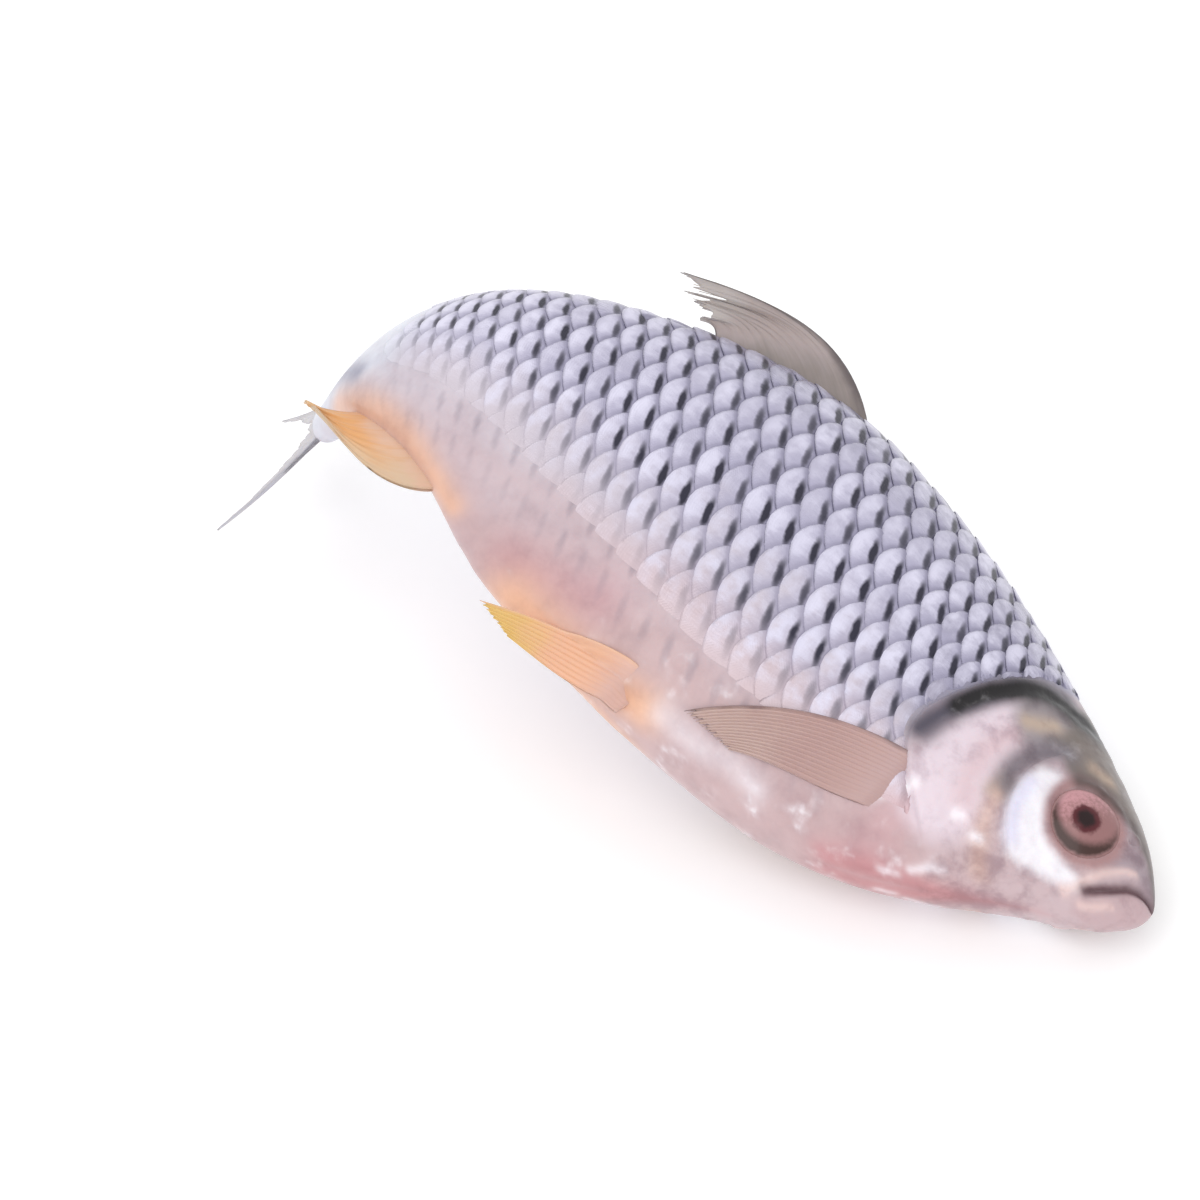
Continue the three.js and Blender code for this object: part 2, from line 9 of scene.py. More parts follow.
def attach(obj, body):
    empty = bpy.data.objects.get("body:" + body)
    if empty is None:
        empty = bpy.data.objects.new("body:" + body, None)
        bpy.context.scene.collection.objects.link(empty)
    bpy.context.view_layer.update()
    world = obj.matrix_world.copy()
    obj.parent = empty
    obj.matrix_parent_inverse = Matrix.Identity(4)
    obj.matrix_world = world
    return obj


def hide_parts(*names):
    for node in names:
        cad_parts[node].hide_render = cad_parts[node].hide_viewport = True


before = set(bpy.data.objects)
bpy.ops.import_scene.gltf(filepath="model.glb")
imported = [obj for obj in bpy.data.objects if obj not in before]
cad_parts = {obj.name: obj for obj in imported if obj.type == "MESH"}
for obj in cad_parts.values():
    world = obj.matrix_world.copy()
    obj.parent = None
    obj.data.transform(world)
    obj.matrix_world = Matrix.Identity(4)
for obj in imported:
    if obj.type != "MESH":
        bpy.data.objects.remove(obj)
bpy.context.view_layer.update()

# A whole raw fish lying on its left flank. Every piece is drawn on a straight
# fish first: s from snout (0) to tail root (1), h to the back and w to the
# right flank, in body lengths; arc runs round the section in millimetres from
# its widest point. A bent backbone then carries every point to its place.

def curve(pairs):
    """A smooth curve through (x, y) pairs that never overshoots them."""
    x, y = np.array(pairs, float).T
    step = np.diff(y) / np.diff(x)
    slope = np.zeros_like(y)
    slope[0], slope[-1] = step[0], step[-1]
    for i in range(1, len(x) - 1):
        if step[i - 1] * step[i] > 0:
            mean = (step[i - 1] + step[i]) / 2
            slope[i] = math.copysign(min(abs(mean), 3 * min(abs(step[i - 1]), abs(step[i]))), mean)

    def value(at):
        at = np.asarray(at, float)
        i = np.clip(np.searchsorted(x, at, side="right") - 1, 0, len(x) - 2)
        span = x[i + 1] - x[i]
        t = np.clip((at - x[i]) / span, 0, 1)
        return (y[i] * (1 + 2 * t) * (1 - t) ** 2 + slope[i] * span * t * (1 - t) ** 2
                + y[i + 1] * t * t * (3 - 2 * t) + slope[i + 1] * span * t * t * (t - 1))
    return value


# ---- sizes shared with the solid ----
LENGTH = 225.0
# how far the rear edge of a scale curves, in pitches for a row squared
PLATE_CURVE = 0.9
SHIFT = (117.370, -7.890, 12.432)
SNOUT_S, SNOUT_ROUND = -0.012, 0.035
back_at = curve([(-0.012, -0.014), (0, -0.004), (0.02, 0.014), (0.04, 0.033), (0.08, 0.063),
    (0.12, 0.09), (0.17, 0.121), (0.24, 0.162), (0.31, 0.194), (0.39, 0.217), (0.48, 0.231),
    (0.56, 0.226), (0.64, 0.204), (0.72, 0.169), (0.8, 0.13), (0.88, 0.098), (0.95, 0.084),
    (1, 0.079)])
belly_at = curve([(-0.012, -0.07), (0.005, -0.067), (0.02, -0.072), (0.05, -0.085), (0.08, -0.095),
    (0.12, -0.113), (0.17, -0.137), (0.23, -0.159), (0.3, -0.174), (0.38, -0.179), (0.48, -0.176),
    (0.58, -0.168), (0.66, -0.15), (0.72, -0.125), (0.78, -0.098), (0.85, -0.068), (0.92, -0.04),
    (1, -0.02)])
widest_at = curve([(-0.012, -0.034), (0.05, -0.022), (0.12, -0.012), (0.25, 0), (0.45, 0.005),
    (0.65, 0.008), (0.8, 0.006), (1, 0.003)])
half_width_at = curve([(-0.012, 0.022), (0.02, 0.036), (0.05, 0.049), (0.09, 0.062), (0.14, 0.074),
    (0.2, 0.084), (0.28, 0.091), (0.38, 0.094), (0.48, 0.09), (0.6, 0.077), (0.72, 0.057),
    (0.84, 0.039), (0.93, 0.026), (1, 0.016)])
back_sharpness = curve([(0, 1), (0.12, 1.1), (0.3, 1.25), (1, 1.3)])
belly_sharpness = curve([(0, 1), (0.1, 0.9), (0.4, 0.85), (0.6, 1.05), (1, 1.2)])
HEAD_RISE, FRONT_RISE, TAIL_DROP = 7.5, 22.0, 55.0
RISE_SPAN, DROP_SPAN, FLEX_SPAN = (0.15, 0.45), (0.693, 0.961), (1.0, 1.25)
FIN_FLEX, SIDE_SWEEP, SWEEP_SPAN = 13.5, 6.3, (0.45, 1.15)
ROLL, TAIL_ROLL, TWIST_SPAN = 5.0, 8.0, (0.5, 1.1)
SPINE_END, SPINE_STEPS = 1.45, 480
scale_pitch = curve([(0.15, 5.2), (0.25, 6.2), (0.35, 7), (0.45, 6.5), (0.56, 6.1), (0.64, 5.6),
    (0.7, 4.9), (0.76, 4), (0.82, 3.4), (0.88, 5), (1, 7)])
scale_row = curve([(0.15, 6.2), (0.25, 7.6), (0.35, 8.8), (0.46, 9.3), (0.58, 9.1), (0.7, 8),
    (0.78, 6.8), (0.88, 5.4), (1, 5)])
row_start = curve([(0.15, -1.5), (0.35, -1.8), (0.45, -2.7), (0.6, -0.5), (0.7, 1.3), (1, 1)])
SCALES_FROM = 0.15
scale_front_at = curve([(-0.2, 0.15), (-0.13, 0.17), (-0.08, 0.228), (-0.053, 0.247),
    (-0.031, 0.25), (-0.009, 0.243), (0.017, 0.23), (0.04, 0.216), (0.062, 0.2), (0.083, 0.185),
    (0.1, 0.165), (0.2, 0.15)])
cheek_edge_at = curve([(-0.12, 0.08), (-0.086, 0.115), (-0.05, 0.14), (-0.02, 0.144), (0, 0.14),
    (0.03, 0.125), (0.08, 0.1)])
EYE_S, EYE_H, EYE_RADIUS = 0.073, -0.021, 7.2
REST_LEVEL, PRESSED_SHARE = 0.35, 0.12
MM = 0.001


# ---- the straight fish and its bend ----
def smooth(x, low, high):
    t = np.clip((np.asarray(x, float) - low) / (high - low), 0, 1)
    return t * t * (3 - 2 * t)


def lerp(a, b, t):
    return a + (b - a) * t


def section(s, turn):
    """h and w on the right half of the section; turn runs -pi/2 belly to pi/2 back."""
    rounded = np.minimum((s - SNOUT_S) / SNOUT_ROUND, 1)
    nose = np.sqrt(np.maximum(1 - (1 - rounded) ** 2, 0))
    middle = widest_at(s)
    up = np.sin(turn)
    reach = np.where(up > 0, back_at(s) - middle, middle - belly_at(s))
    sharp = np.where(up > 0, back_sharpness(s), belly_sharpness(s))
    side = np.maximum(np.cos(turn), 0) ** sharp
    return middle + reach * nose * up, half_width_at(s) * nose * side


def section_normal(s, turn, step=0.02):
    ha, wa = section(s, np.maximum(turn - step, -math.pi / 2))
    hb, wb = section(s, np.minimum(turn + step, math.pi / 2))
    size = np.maximum(np.hypot(hb - ha, wb - wa), 1e-9)
    return -(wb - wa) / size, (hb - ha) / size


def lifted(s, turn, lift):
    """h and w of points lift millimetres off the skin."""
    h, w = section(s, turn)
    nh, nw = section_normal(s, turn)
    return h + nh * lift / LENGTH, np.maximum(w + nw * lift / LENGTH, 0)


def skin_at(s, h):
    """Half width of the body at s and h."""
    middle = widest_at(s)
    reach = np.where(h > middle, back_at(s) - middle, middle - belly_at(s))
    up = np.clip((h - middle) / reach, -1, 1)
    sharp = np.where(h > middle, back_sharpness(s), belly_sharpness(s))
    return half_width_at(s) * np.sqrt(1 - up * up) ** sharp


def make_spine():
    s = np.linspace(0, SPINE_END, SPINE_STEPS + 1)
    rise = lerp(HEAD_RISE, FRONT_RISE, smooth(s, *RISE_SPAN))
    drop = (FRONT_RISE + TAIL_DROP) * smooth(s, *DROP_SPAN)
    pitch = np.radians(rise - drop + FIN_FLEX * smooth(s, *FLEX_SPAN))
    sweep = np.radians(SIDE_SWEEP * smooth(s, *SWEEP_SPAN))
    roll = np.radians(lerp(ROLL, TAIL_ROLL, smooth(s, *TWIST_SPAN)))[:, None]
    along = np.stack([-np.cos(pitch) * np.cos(sweep), -np.cos(pitch) * np.sin(sweep),
                      np.sin(pitch)], 1)
    flank = np.stack([np.sin(pitch), 0 * pitch, np.cos(pitch)], 1)
    flank -= (flank * along).sum(1)[:, None] * along
    flank /= np.linalg.norm(flank, axis=1)[:, None]
    back = np.cross(along, flank)
    place = np.vstack([[0, 0, 0], np.cumsum(along[:-1] * SPINE_END / SPINE_STEPS * LENGTH, 0)])
    return {"place": place + np.array(SHIFT), "along": along,
            "w": flank * np.cos(roll) - back * np.sin(roll),
            "h": back * np.cos(roll) + flank * np.sin(roll)}


SPINE = make_spine()


def bend(s, h, w):
    """Carries points of the straight fish, in body lengths, to the bent one, in metres.

    What would sink into the table is pressed flat on it, as soft flesh is."""
    s, h, w = np.broadcast_arrays(np.asarray(s, float), h, w)
    at = np.clip(s / SPINE_END, 0, 1) * SPINE_STEPS
    i = np.minimum(at.astype(int), SPINE_STEPS - 1)
    t = (at - i)[..., None]

    def mixed(key):
        return lerp(SPINE[key][i], SPINE[key][i + 1], t)
    point = mixed("place") + (mixed("h") * h[..., None] + mixed("w") * w[..., None]) * LENGTH
    point = point + np.minimum(s, 0)[..., None] * LENGTH * SPINE["along"][0]
    low = point[..., 2]
    pressed = np.maximum(REST_LEVEL + (low - REST_LEVEL) * PRESSED_SHARE, 0)
    point[..., 2] = np.where(low < REST_LEVEL, pressed, low)
    return point * MM


ARC_S = np.linspace(SNOUT_S + 0.002, 1.0, 240)
ARC_SHARES = np.linspace(-1, 1, 129)


def make_arc_table():
    """Turns for shares of the arc length, and the two arc lengths, at every s."""
    turns = np.linspace(-math.pi / 2, math.pi / 2, 257)
    table, low, high = np.zeros((len(ARC_S), len(ARC_SHARES))), [], []
    for i, s in enumerate(ARC_S):
        h, w = section(s, turns)
        arc = np.concatenate([[0], np.cumsum(np.hypot(np.diff(h), np.diff(w)))]) * LENGTH
        arc -= arc[128]
        low.append(-arc[0])
        high.append(arc[-1])
        table[i] = np.interp(ARC_SHARES, np.where(arc < 0, arc / -arc[0], arc / arc[-1]), turns)
    return table, np.array(low), np.array(high)


ARC_TURNS, ARC_LOW, ARC_HIGH = make_arc_table()


def arc_limits(s):
    return np.interp(s, ARC_S, ARC_LOW), np.interp(s, ARC_S, ARC_HIGH)


def turn_of_arc(s, arc):
    low, high = arc_limits(s)
    share = np.clip(np.where(arc < 0, arc / low, arc / high), -1, 1)
    i = np.clip((s - ARC_S[0]) / (ARC_S[1] - ARC_S[0]), 0, len(ARC_S) - 1.001)
    j = np.clip((share + 1) / 2 * (len(ARC_SHARES) - 1), 0, len(ARC_SHARES) - 1.001)
    i0, j0 = i.astype(int), j.astype(int)
    near = lerp(ARC_TURNS[i0, j0], ARC_TURNS[i0, j0 + 1], j - j0)
    far = lerp(ARC_TURNS[i0 + 1, j0], ARC_TURNS[i0 + 1, j0 + 1], j - j0)
    return lerp(near, far, i - i0)


def on_skin(s, arc, side, lift):
    """Straight-fish points lift millimetres off the skin; past a ridge the arc turns to
    the other flank. Gives s, h and w in body lengths."""
    low, high = arc_limits(s)
    over = arc > high
    under = arc < -low
    arc = np.where(over, 2 * high - arc, np.where(under, -2 * low - arc, arc))
    side = np.where(over | under, -side, side)
    h, w = lifted(s, turn_of_arc(s, arc), lift)
    return s, h, side * w


def uneven(x, y, seed, octaves=4):
    """Smooth repeatable unevenness, about -1 to 1, in turns of x and y."""
    rng = np.random.RandomState(seed)
    total = 0
    for octave in range(octaves):
        turn, px, py = rng.uniform(0, 6.28, 3)
        size = 1.9 ** octave
        cx = (x * math.cos(turn) + y * math.sin(turn)) * size
        cy = (y * math.cos(turn) - x * math.sin(turn)) * size
        wave = np.sin(cx + px + 1.3 * np.sin(cy * 0.7 + py)) * np.sin(cy + py)
        total = total + wave / 1.7 ** octave
    return total / 1.6


# ---- meshes ----
def vectors(items, key):
    """The vectors that every item of a mesh holds under a key."""
    values = np.zeros(len(items) * 3, np.float32)
    items.foreach_get(key, values)
    return values.reshape(-1, 3).astype(float)


def set_mark(mesh, name, values):
    layer = mesh.attributes.get(name) or mesh.attributes.new(name, "FLOAT_VECTOR", "POINT")
    layer.data.foreach_set("vector", np.asarray(values, np.float32).ravel())


def put(name, data, matrix=Matrix()):
    """An object in the scene."""
    thing = bpy.data.objects.new(name, data)
    thing.matrix_world = matrix
    bpy.context.collection.objects.link(thing)
    return thing


def placed(name, mesh):
    """A smooth object of a mesh."""
    mesh.polygons.foreach_set("use_smooth", [True] * len(mesh.polygons))
    mesh.update()
    return put(name, mesh)


def make_piece(name, points, faces, material, marks=None, edges=()):
    """A mesh piece; marks are vector attributes that its material reads."""
    mesh = bpy.data.meshes.new(name)
    mesh.from_pydata(np.asarray(points, float).reshape(-1, 3).tolist(), edges, faces)
    for key, values in (marks or {}).items():
        set_mark(mesh, key, values)
    mesh.materials.append(material)
    return placed(name, mesh)


def face_out(piece, inward=None):
    """Turns a closed piece's faces outward, or only the faces known to look inward."""
    mesh, work = piece.data, bmesh.new()
    work.from_mesh(mesh)
    if inward is None:
        bmesh.ops.recalc_face_normals(work, faces=work.faces)
    else:
        work.faces.ensure_lookup_table()
        bmesh.ops.reverse_faces(work, faces=[work.faces[i] for i in np.nonzero(inward)[0]])
    work.to_mesh(mesh)
    work.free()
    mesh.update()
    return piece


def grid_faces(rows, columns, closed=False):
    corners = [(i * columns, j, (j + 1) % columns) for i in range(rows - 1)
               for j in range(columns if closed else columns - 1)]
    return [[i + j, i + k, i + columns + k, i + columns + j] for i, j, k in corners]


def capped(points, tips, columns):
    """The points and faces of a closed tube with a tip at each end."""
    faces = grid_faces(len(points) // columns, columns, closed=True)
    nose, end, last = len(points), len(points) + 1, len(points) - columns
    for j in range(columns):
        k = (j + 1) % columns
        faces += [[nose, k, j], [end, last + j, last + k]]
    return np.vstack([points, tips]), faces


def wear(piece):
    """Joins a finished piece to the frame: it stands for the solid fish."""
    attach(piece, "root")
    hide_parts("fish")
    return piece


# ---- finishes ----
def srgb(red, green, blue):
    """A colour given as 0 to 255 screen values."""
    share = [v / 255 for v in (red, green, blue)]
    return tuple(v / 12.92 if v <= 0.04045 else ((v + 0.055) / 1.055) ** 2.4 for v in share) + (1,)


class Value:
    """A node's output: arithmetic on it adds Math nodes."""
    def __init__(self, tree, socket):
        self.tree, self.socket = tree, socket

    def math(self, operation, *inputs):
        """A Math node of the inputs, or of this value alone."""
        inputs = dict(enumerate(inputs or [self]))
        return self.tree.node("ShaderNodeMath", {"operation": operation}, inputs)

    def __rsub__(self, other):
        return self.math("SUBTRACT", other, self)

    def size(self):
        return self.math("ABSOLUTE")

    def between(self, low, high):
        """0 below low, 1 above high, smooth between them; low may be the greater."""
        ends = {3: 1.0, 4: 0.0} if low > high else {3: 0.0, 4: 1.0}
        return self.tree.node("ShaderNodeMapRange", {"interpolation_type": "SMOOTHSTEP"},
                              {0: self, 1: min(low, high), 2: max(low, high), **ends})


for method, kind in (("__add__", "ADD"), ("__radd__", "ADD"), ("__sub__", "SUBTRACT"),
                     ("__mul__", "MULTIPLY"), ("__rmul__", "MULTIPLY"),
                     ("__truediv__", "DIVIDE"), ("most", "MAXIMUM")):
    setattr(Value, method, lambda self, other, kind=kind: self.math(kind, self, other))


class Tree:
    """A node tree and the one way its nodes are made."""
    def node(self, kind, settings=None, inputs=None, output=0):
        node = self.tree.nodes.new(kind)
        for key, value in (settings or {}).items():
            setattr(node, key, value)
        for key, value in (inputs or {}).items():
            if isinstance(value, Value):
                self.tree.links.new(value.socket, node.inputs[key])
            else:
                node.inputs[key].default_value = value
        return Value(self, node.outputs[output]) if node.outputs else None


class Growth(Tree):
    """A geometry tree with named inputs, given in the order of the keywords."""
    def __init__(self, name, **kinds):
        self.tree = bpy.data.node_groups.new(name, "GeometryNodeTree")
        self.tree.interface.new_socket("Geometry", in_out="OUTPUT",
                                       socket_type="NodeSocketGeometry")
        for title, kind in {"Geometry": "Geometry", **kinds}.items():
            self.tree.interface.new_socket(title, in_out="INPUT", socket_type="NodeSocket" + kind)
        sockets = self.tree.nodes.new("NodeGroupInput").outputs
        self.given = [Value(self, socket) for socket in sockets][:len(kinds) + 1]

    def part(self, name, axis):
        """One part of the seeds' vector mark of that name."""
        vector = self.node("GeometryNodeInputNamedAttribute", {"data_type": "FLOAT_VECTOR"},
                           {"Name": name})
        return self.node("ShaderNodeSeparateXYZ", None, {0: vector}, axis)

    def finish(self, shape, material):
        """Ends the tree in a plain mesh of one material."""
        real = self.node("GeometryNodeRealizeInstances", None, {0: shape})
        self.node("NodeGroupOutput", None, {0: self.node("GeometryNodeSetMaterial", None, {
            "Geometry": real, "Material": material})})
        return self.tree


class Look(Tree):
    """A node material."""
    def __init__(self, name):
        self.material = bpy.data.materials.new(name)
        self.material.use_nodes = True
        self.tree = self.material.node_tree
        self.tree.nodes.clear()

    def vector(self, name):
        """A vector that the mesh carries at its points."""
        return self.node("ShaderNodeAttribute", {"attribute_name": name}, output=1)

    def mark(self, name):
        """The three parts of such a vector."""
        vector = self.vector(name)
        return [self.node("ShaderNodeSeparateXYZ", None, {0: vector}, part) for part in range(3)]

    def join(self, x, y, z=0.0):
        return self.node("ShaderNodeCombineXYZ", None, {0: x, 1: y, 2: z})

    def noise(self, scale, detail=3.0, rough=0.55, warp=0.0, where=None):
        """Noise of 0 to 1, in the piece's own space unless a vector is given."""
        where = where or self.node("ShaderNodeTexCoord", output=3)
        return self.node("ShaderNodeTexNoise", None, {
            "Vector": where, "Scale": scale, "Detail": detail, "Roughness": rough,
            "Distortion": warp})

    def shade(self, colour, by):
        """A colour times a constant colour."""
        return self.node("ShaderNodeVectorMath", {"operation": "MULTIPLY"}, {0: colour, 1: by})

    def mix(self, colour, *layers):
        """A colour with others laid over it, each given with its share."""
        for layer, share in layers:
            inputs = {0: share, 6: colour, 7: layer}
            colour = self.node("ShaderNodeMix", {"data_type": "RGBA"}, inputs, 2)
        return colour

    def bump(self, height, strength, distance):
        inputs = {"Height": height, "Strength": strength, "Distance": distance}
        return self.node("ShaderNodeBump", None, inputs)

    def finish(self, **inputs):
        """Ends the material in one shader; an underscore in a name stands for a space."""
        inputs = {key.replace("_", " "): value for key, value in inputs.items()}
        shader = self.node("ShaderNodeBsdfPrincipled", None, inputs)
        self.node("ShaderNodeOutputMaterial", None, {0: shader})
        return self.material


# ---- colours ----
# scales: the white of their painted sheen, their own lilac, and their dark bars
SCALE_SHEEN, SCALE_LILAC, SCALE_BAR = srgb(226, 223, 243), srgb(170, 166, 192), srgb(30, 27, 50)
# the colour of the painted shade in the lines between the scales
SCALE_SHADE_LINE = srgb(112, 108, 134)
BACK_GREY, FLANK_LILAC, FLANK_PALE = srgb(146, 143, 164), srgb(190, 186, 207), srgb(206, 196, 206)
FLANK_PINK, BELLY_PINK, BELLY_ROSE = srgb(204, 184, 190), srgb(200, 172, 174), srgb(198, 152, 158)
# the last white serves for pale streaks in the skin and for painted highlights on wet skin
BELLY_RED, BELLY_PEACH, PALE_STREAK_AND_HIGHLIGHT = srgb(196, 128, 132), srgb(240, 188, 154), srgb(250, 244, 250)
STALK_BLUE, STALK_STREAK = srgb(216, 218, 230), srgb(132, 132, 158)
HEAD_PINK, HEAD_OLIVE, HEAD_GREY = srgb(198, 174, 178), srgb(118, 108, 102), srgb(146, 138, 142)
NAPE_BLACK, NAPE_GREY, HEAD_TAN = srgb(16, 11, 16), srgb(118, 110, 122), srgb(190, 168, 150)
NAPE_DUSK, FRONT_GREY, FAINT_BAR = srgb(80, 74, 88), srgb(138, 134, 156), srgb(120, 110, 128)
GILL_LILAC, GILL_PINK, GILL_PEACH = srgb(228, 212, 222), srgb(214, 180, 184), srgb(220, 184, 168)
CHEEK_SILVER_AND_SHINE, CHEEK_LILAC = srgb(248, 246, 252), srgb(226, 224, 246)
CRESCENT_GREY = srgb(110, 103, 112)
SNOUT_MAUVE, BROW_BROWN, LID_BROWN = srgb(162, 144, 152), srgb(88, 72, 70), srgb(168, 128, 128)
# mouth: painted shade in its slit, painted highlights on lip and chin, and the jaw's own pink
MOUTH_SLIT_SHADE, LIP_HIGHLIGHT, JAW_PINK = srgb(96, 66, 72), srgb(238, 208, 202), srgb(192, 164, 168)
PUPIL_DARK, PUPIL_MAROON = srgb(30, 2, 6), srgb(84, 26, 34)
# the iris's own pink, its paler painted lit side, and the brown of its painted shaded rim
IRIS_PINK, IRIS_PALE, IRIS_BROWN = srgb(150, 108, 108), srgb(198, 146, 152), srgb(66, 42, 38)


def rounded(points, closed=False, steps=6):
    """A smooth line through points of body length and arc; both come out in millimetres."""
    points = np.array(points, float) * (LENGTH, 1)
    ends = (points[-1:], points[:2]) if closed else (points[:1], points[-1:])
    padded = np.vstack([ends[0], points, ends[1]])
    line = []
    for i in range(1, len(padded) - 2):
        a, b, c, d = padded[i - 1:i + 3]
        for t in np.arange(steps) / steps:
            line.append(0.5 * (2 * b + (c - a) * t + (2 * a - 5 * b + 4 * c - d) * t * t
                               + (3 * b - a - 3 * c + d) * t ** 3))
    line.append(padded[-2])
    return np.array(line)


def distance_to(line, s, arc):
    """Millimetres to a rounded line, and the share along it of the nearest place."""
    x = s * LENGTH
    best, share = np.full(s.shape, 1e9), np.zeros(s.shape)
    for i in range(len(line) - 1):
        a, run = line[i], line[i + 1] - line[i]
        t = np.clip(((x - a[0]) * run[0] + (arc - a[1]) * run[1]) / max(run @ run, 1e-12), 0, 1)
        away = np.hypot(x - a[0] - t * run[0], arc - a[1] - t * run[1])
        nearer = away < best
        best = np.where(nearer, away, best)
        share = np.where(nearer, (i + t) / (len(line) - 1), share)
    return best, share


def inside(shape, s, arc, feather):
    """1 inside a closed shape, 0 outside, feathered over millimetres."""
    line = rounded(shape, True)
    away, _ = distance_to(line, s, arc)
    x = s * LENGTH
    crossings = np.zeros(s.shape, int)
    for a, b in zip(line[:-1], line[1:]):
        rising = (a[1] > arc) != (b[1] > arc)
        cut = (b[0] - a[0]) * (arc - a[1]) / (b[1] - a[1] if b[1] != a[1] else 1e-12) + a[0]
        crossings += rising & (x < cut)
    signed = np.where(crossings % 2 == 1, away, -away)
    return smooth(signed, -feather / 2, feather / 2)


def groove(distance, width):
    return np.exp(-(distance / width) ** 2)


# ---- painting: every patch is (colour, strength, softness mm, places of (s, arc mm)) ----
# an area is filled; a stroke follows its line, its softness being its half width at both ends
CHEEK = [(0.112, 2.6), (0.124, 2.4), (0.135, 0), (0.1405, -4.5), (0.1385, -9), (0.131, -13),
    (0.12, -16.4), (0.108, -17.2), (0.09, -16.2), (0.07, -14.6), (0.056, -13), (0.049, -11.4),
    (0.053, -9.8), (0.064, -9.6), (0.08, -10), (0.094, -9), (0.105, -6.5), (0.11, -3), (0.11, 0)]
NAPE_BAND = [(0.127, 22.4), (0.143, 20.4), (0.159, 19), (0.174, 17), (0.187, 13.8), (0.198, 10.2),
    (0.209, 6.8), (0.219, 3), (0.227, -1)]
NAPE_END = [(0.209, 6.5), (0.221, 1.5), (0.23, -2.5), (0.237, -6.5), (0.242, -10)]
UPPER_LIP = [(0.014, 0.2), (0.028, -3), (0.041, -7.4), (0.05, -11.5), (0.058, -14)]
MOUTH_LINE = [(-0.012, 0.6), (0.0, -0.3), (0.012, -2.6), (0.024, -6), (0.034, -8.6),
    (0.042, -10.6)]
HEAD_AREAS = [
    (GILL_LILAC, 0.9, 6.0, [(0.15, 6), (0.17, 9), (0.195, 9), (0.214, 2), (0.224, -6),
     (0.232, -13), (0.218, -24), (0.18, -26), (0.15, -20), (0.15, -12), (0.158, -4)]),
    (HEAD_GREY, 0.9, 5.0, [(0.13, 19), (0.125, 10), (0.14, 5), (0.155, 2), (0.172, 4), (0.186, 9),
     (0.188, 13), (0.17, 17), (0.15, 21)]),
    (HEAD_OLIVE, 0.95, 4.0, [(-0.03, 4.5), (0.0, 4), (0.02, 6.5), (0.045, 8), (0.07, 7.5),
     (0.09, 7), (0.112, 5), (0.13, 8), (0.138, 13), (0.14, 40), (-0.03, 40)]),
    (SNOUT_MAUVE, 0.9, 4.0, [(-0.03, -2), (-0.03, 6), (0.0, 4.5), (0.03, 7), (0.055, 7),
     (0.055, 0), (0.05, -5), (0.035, -6), (0.015, 0)]),
    (JAW_PINK, 0.85, 3.0, [(-0.03, 0), (0.0, -1), (0.02, -6), (0.04, -11.5), (0.045, -14),
     (0.035, -17), (-0.03, -17)]),
    # the cheek's own silvery white with a painted reflection on it
    (CHEEK_SILVER_AND_SHINE, 0.95, 3.2, CHEEK),
]
EYE_RING = [(EYE_S + 7.6 * math.cos(a) / LENGTH, 7.6 * math.sin(a) - 0.4)
            for a in np.linspace(0, 2 * math.pi, 13)]
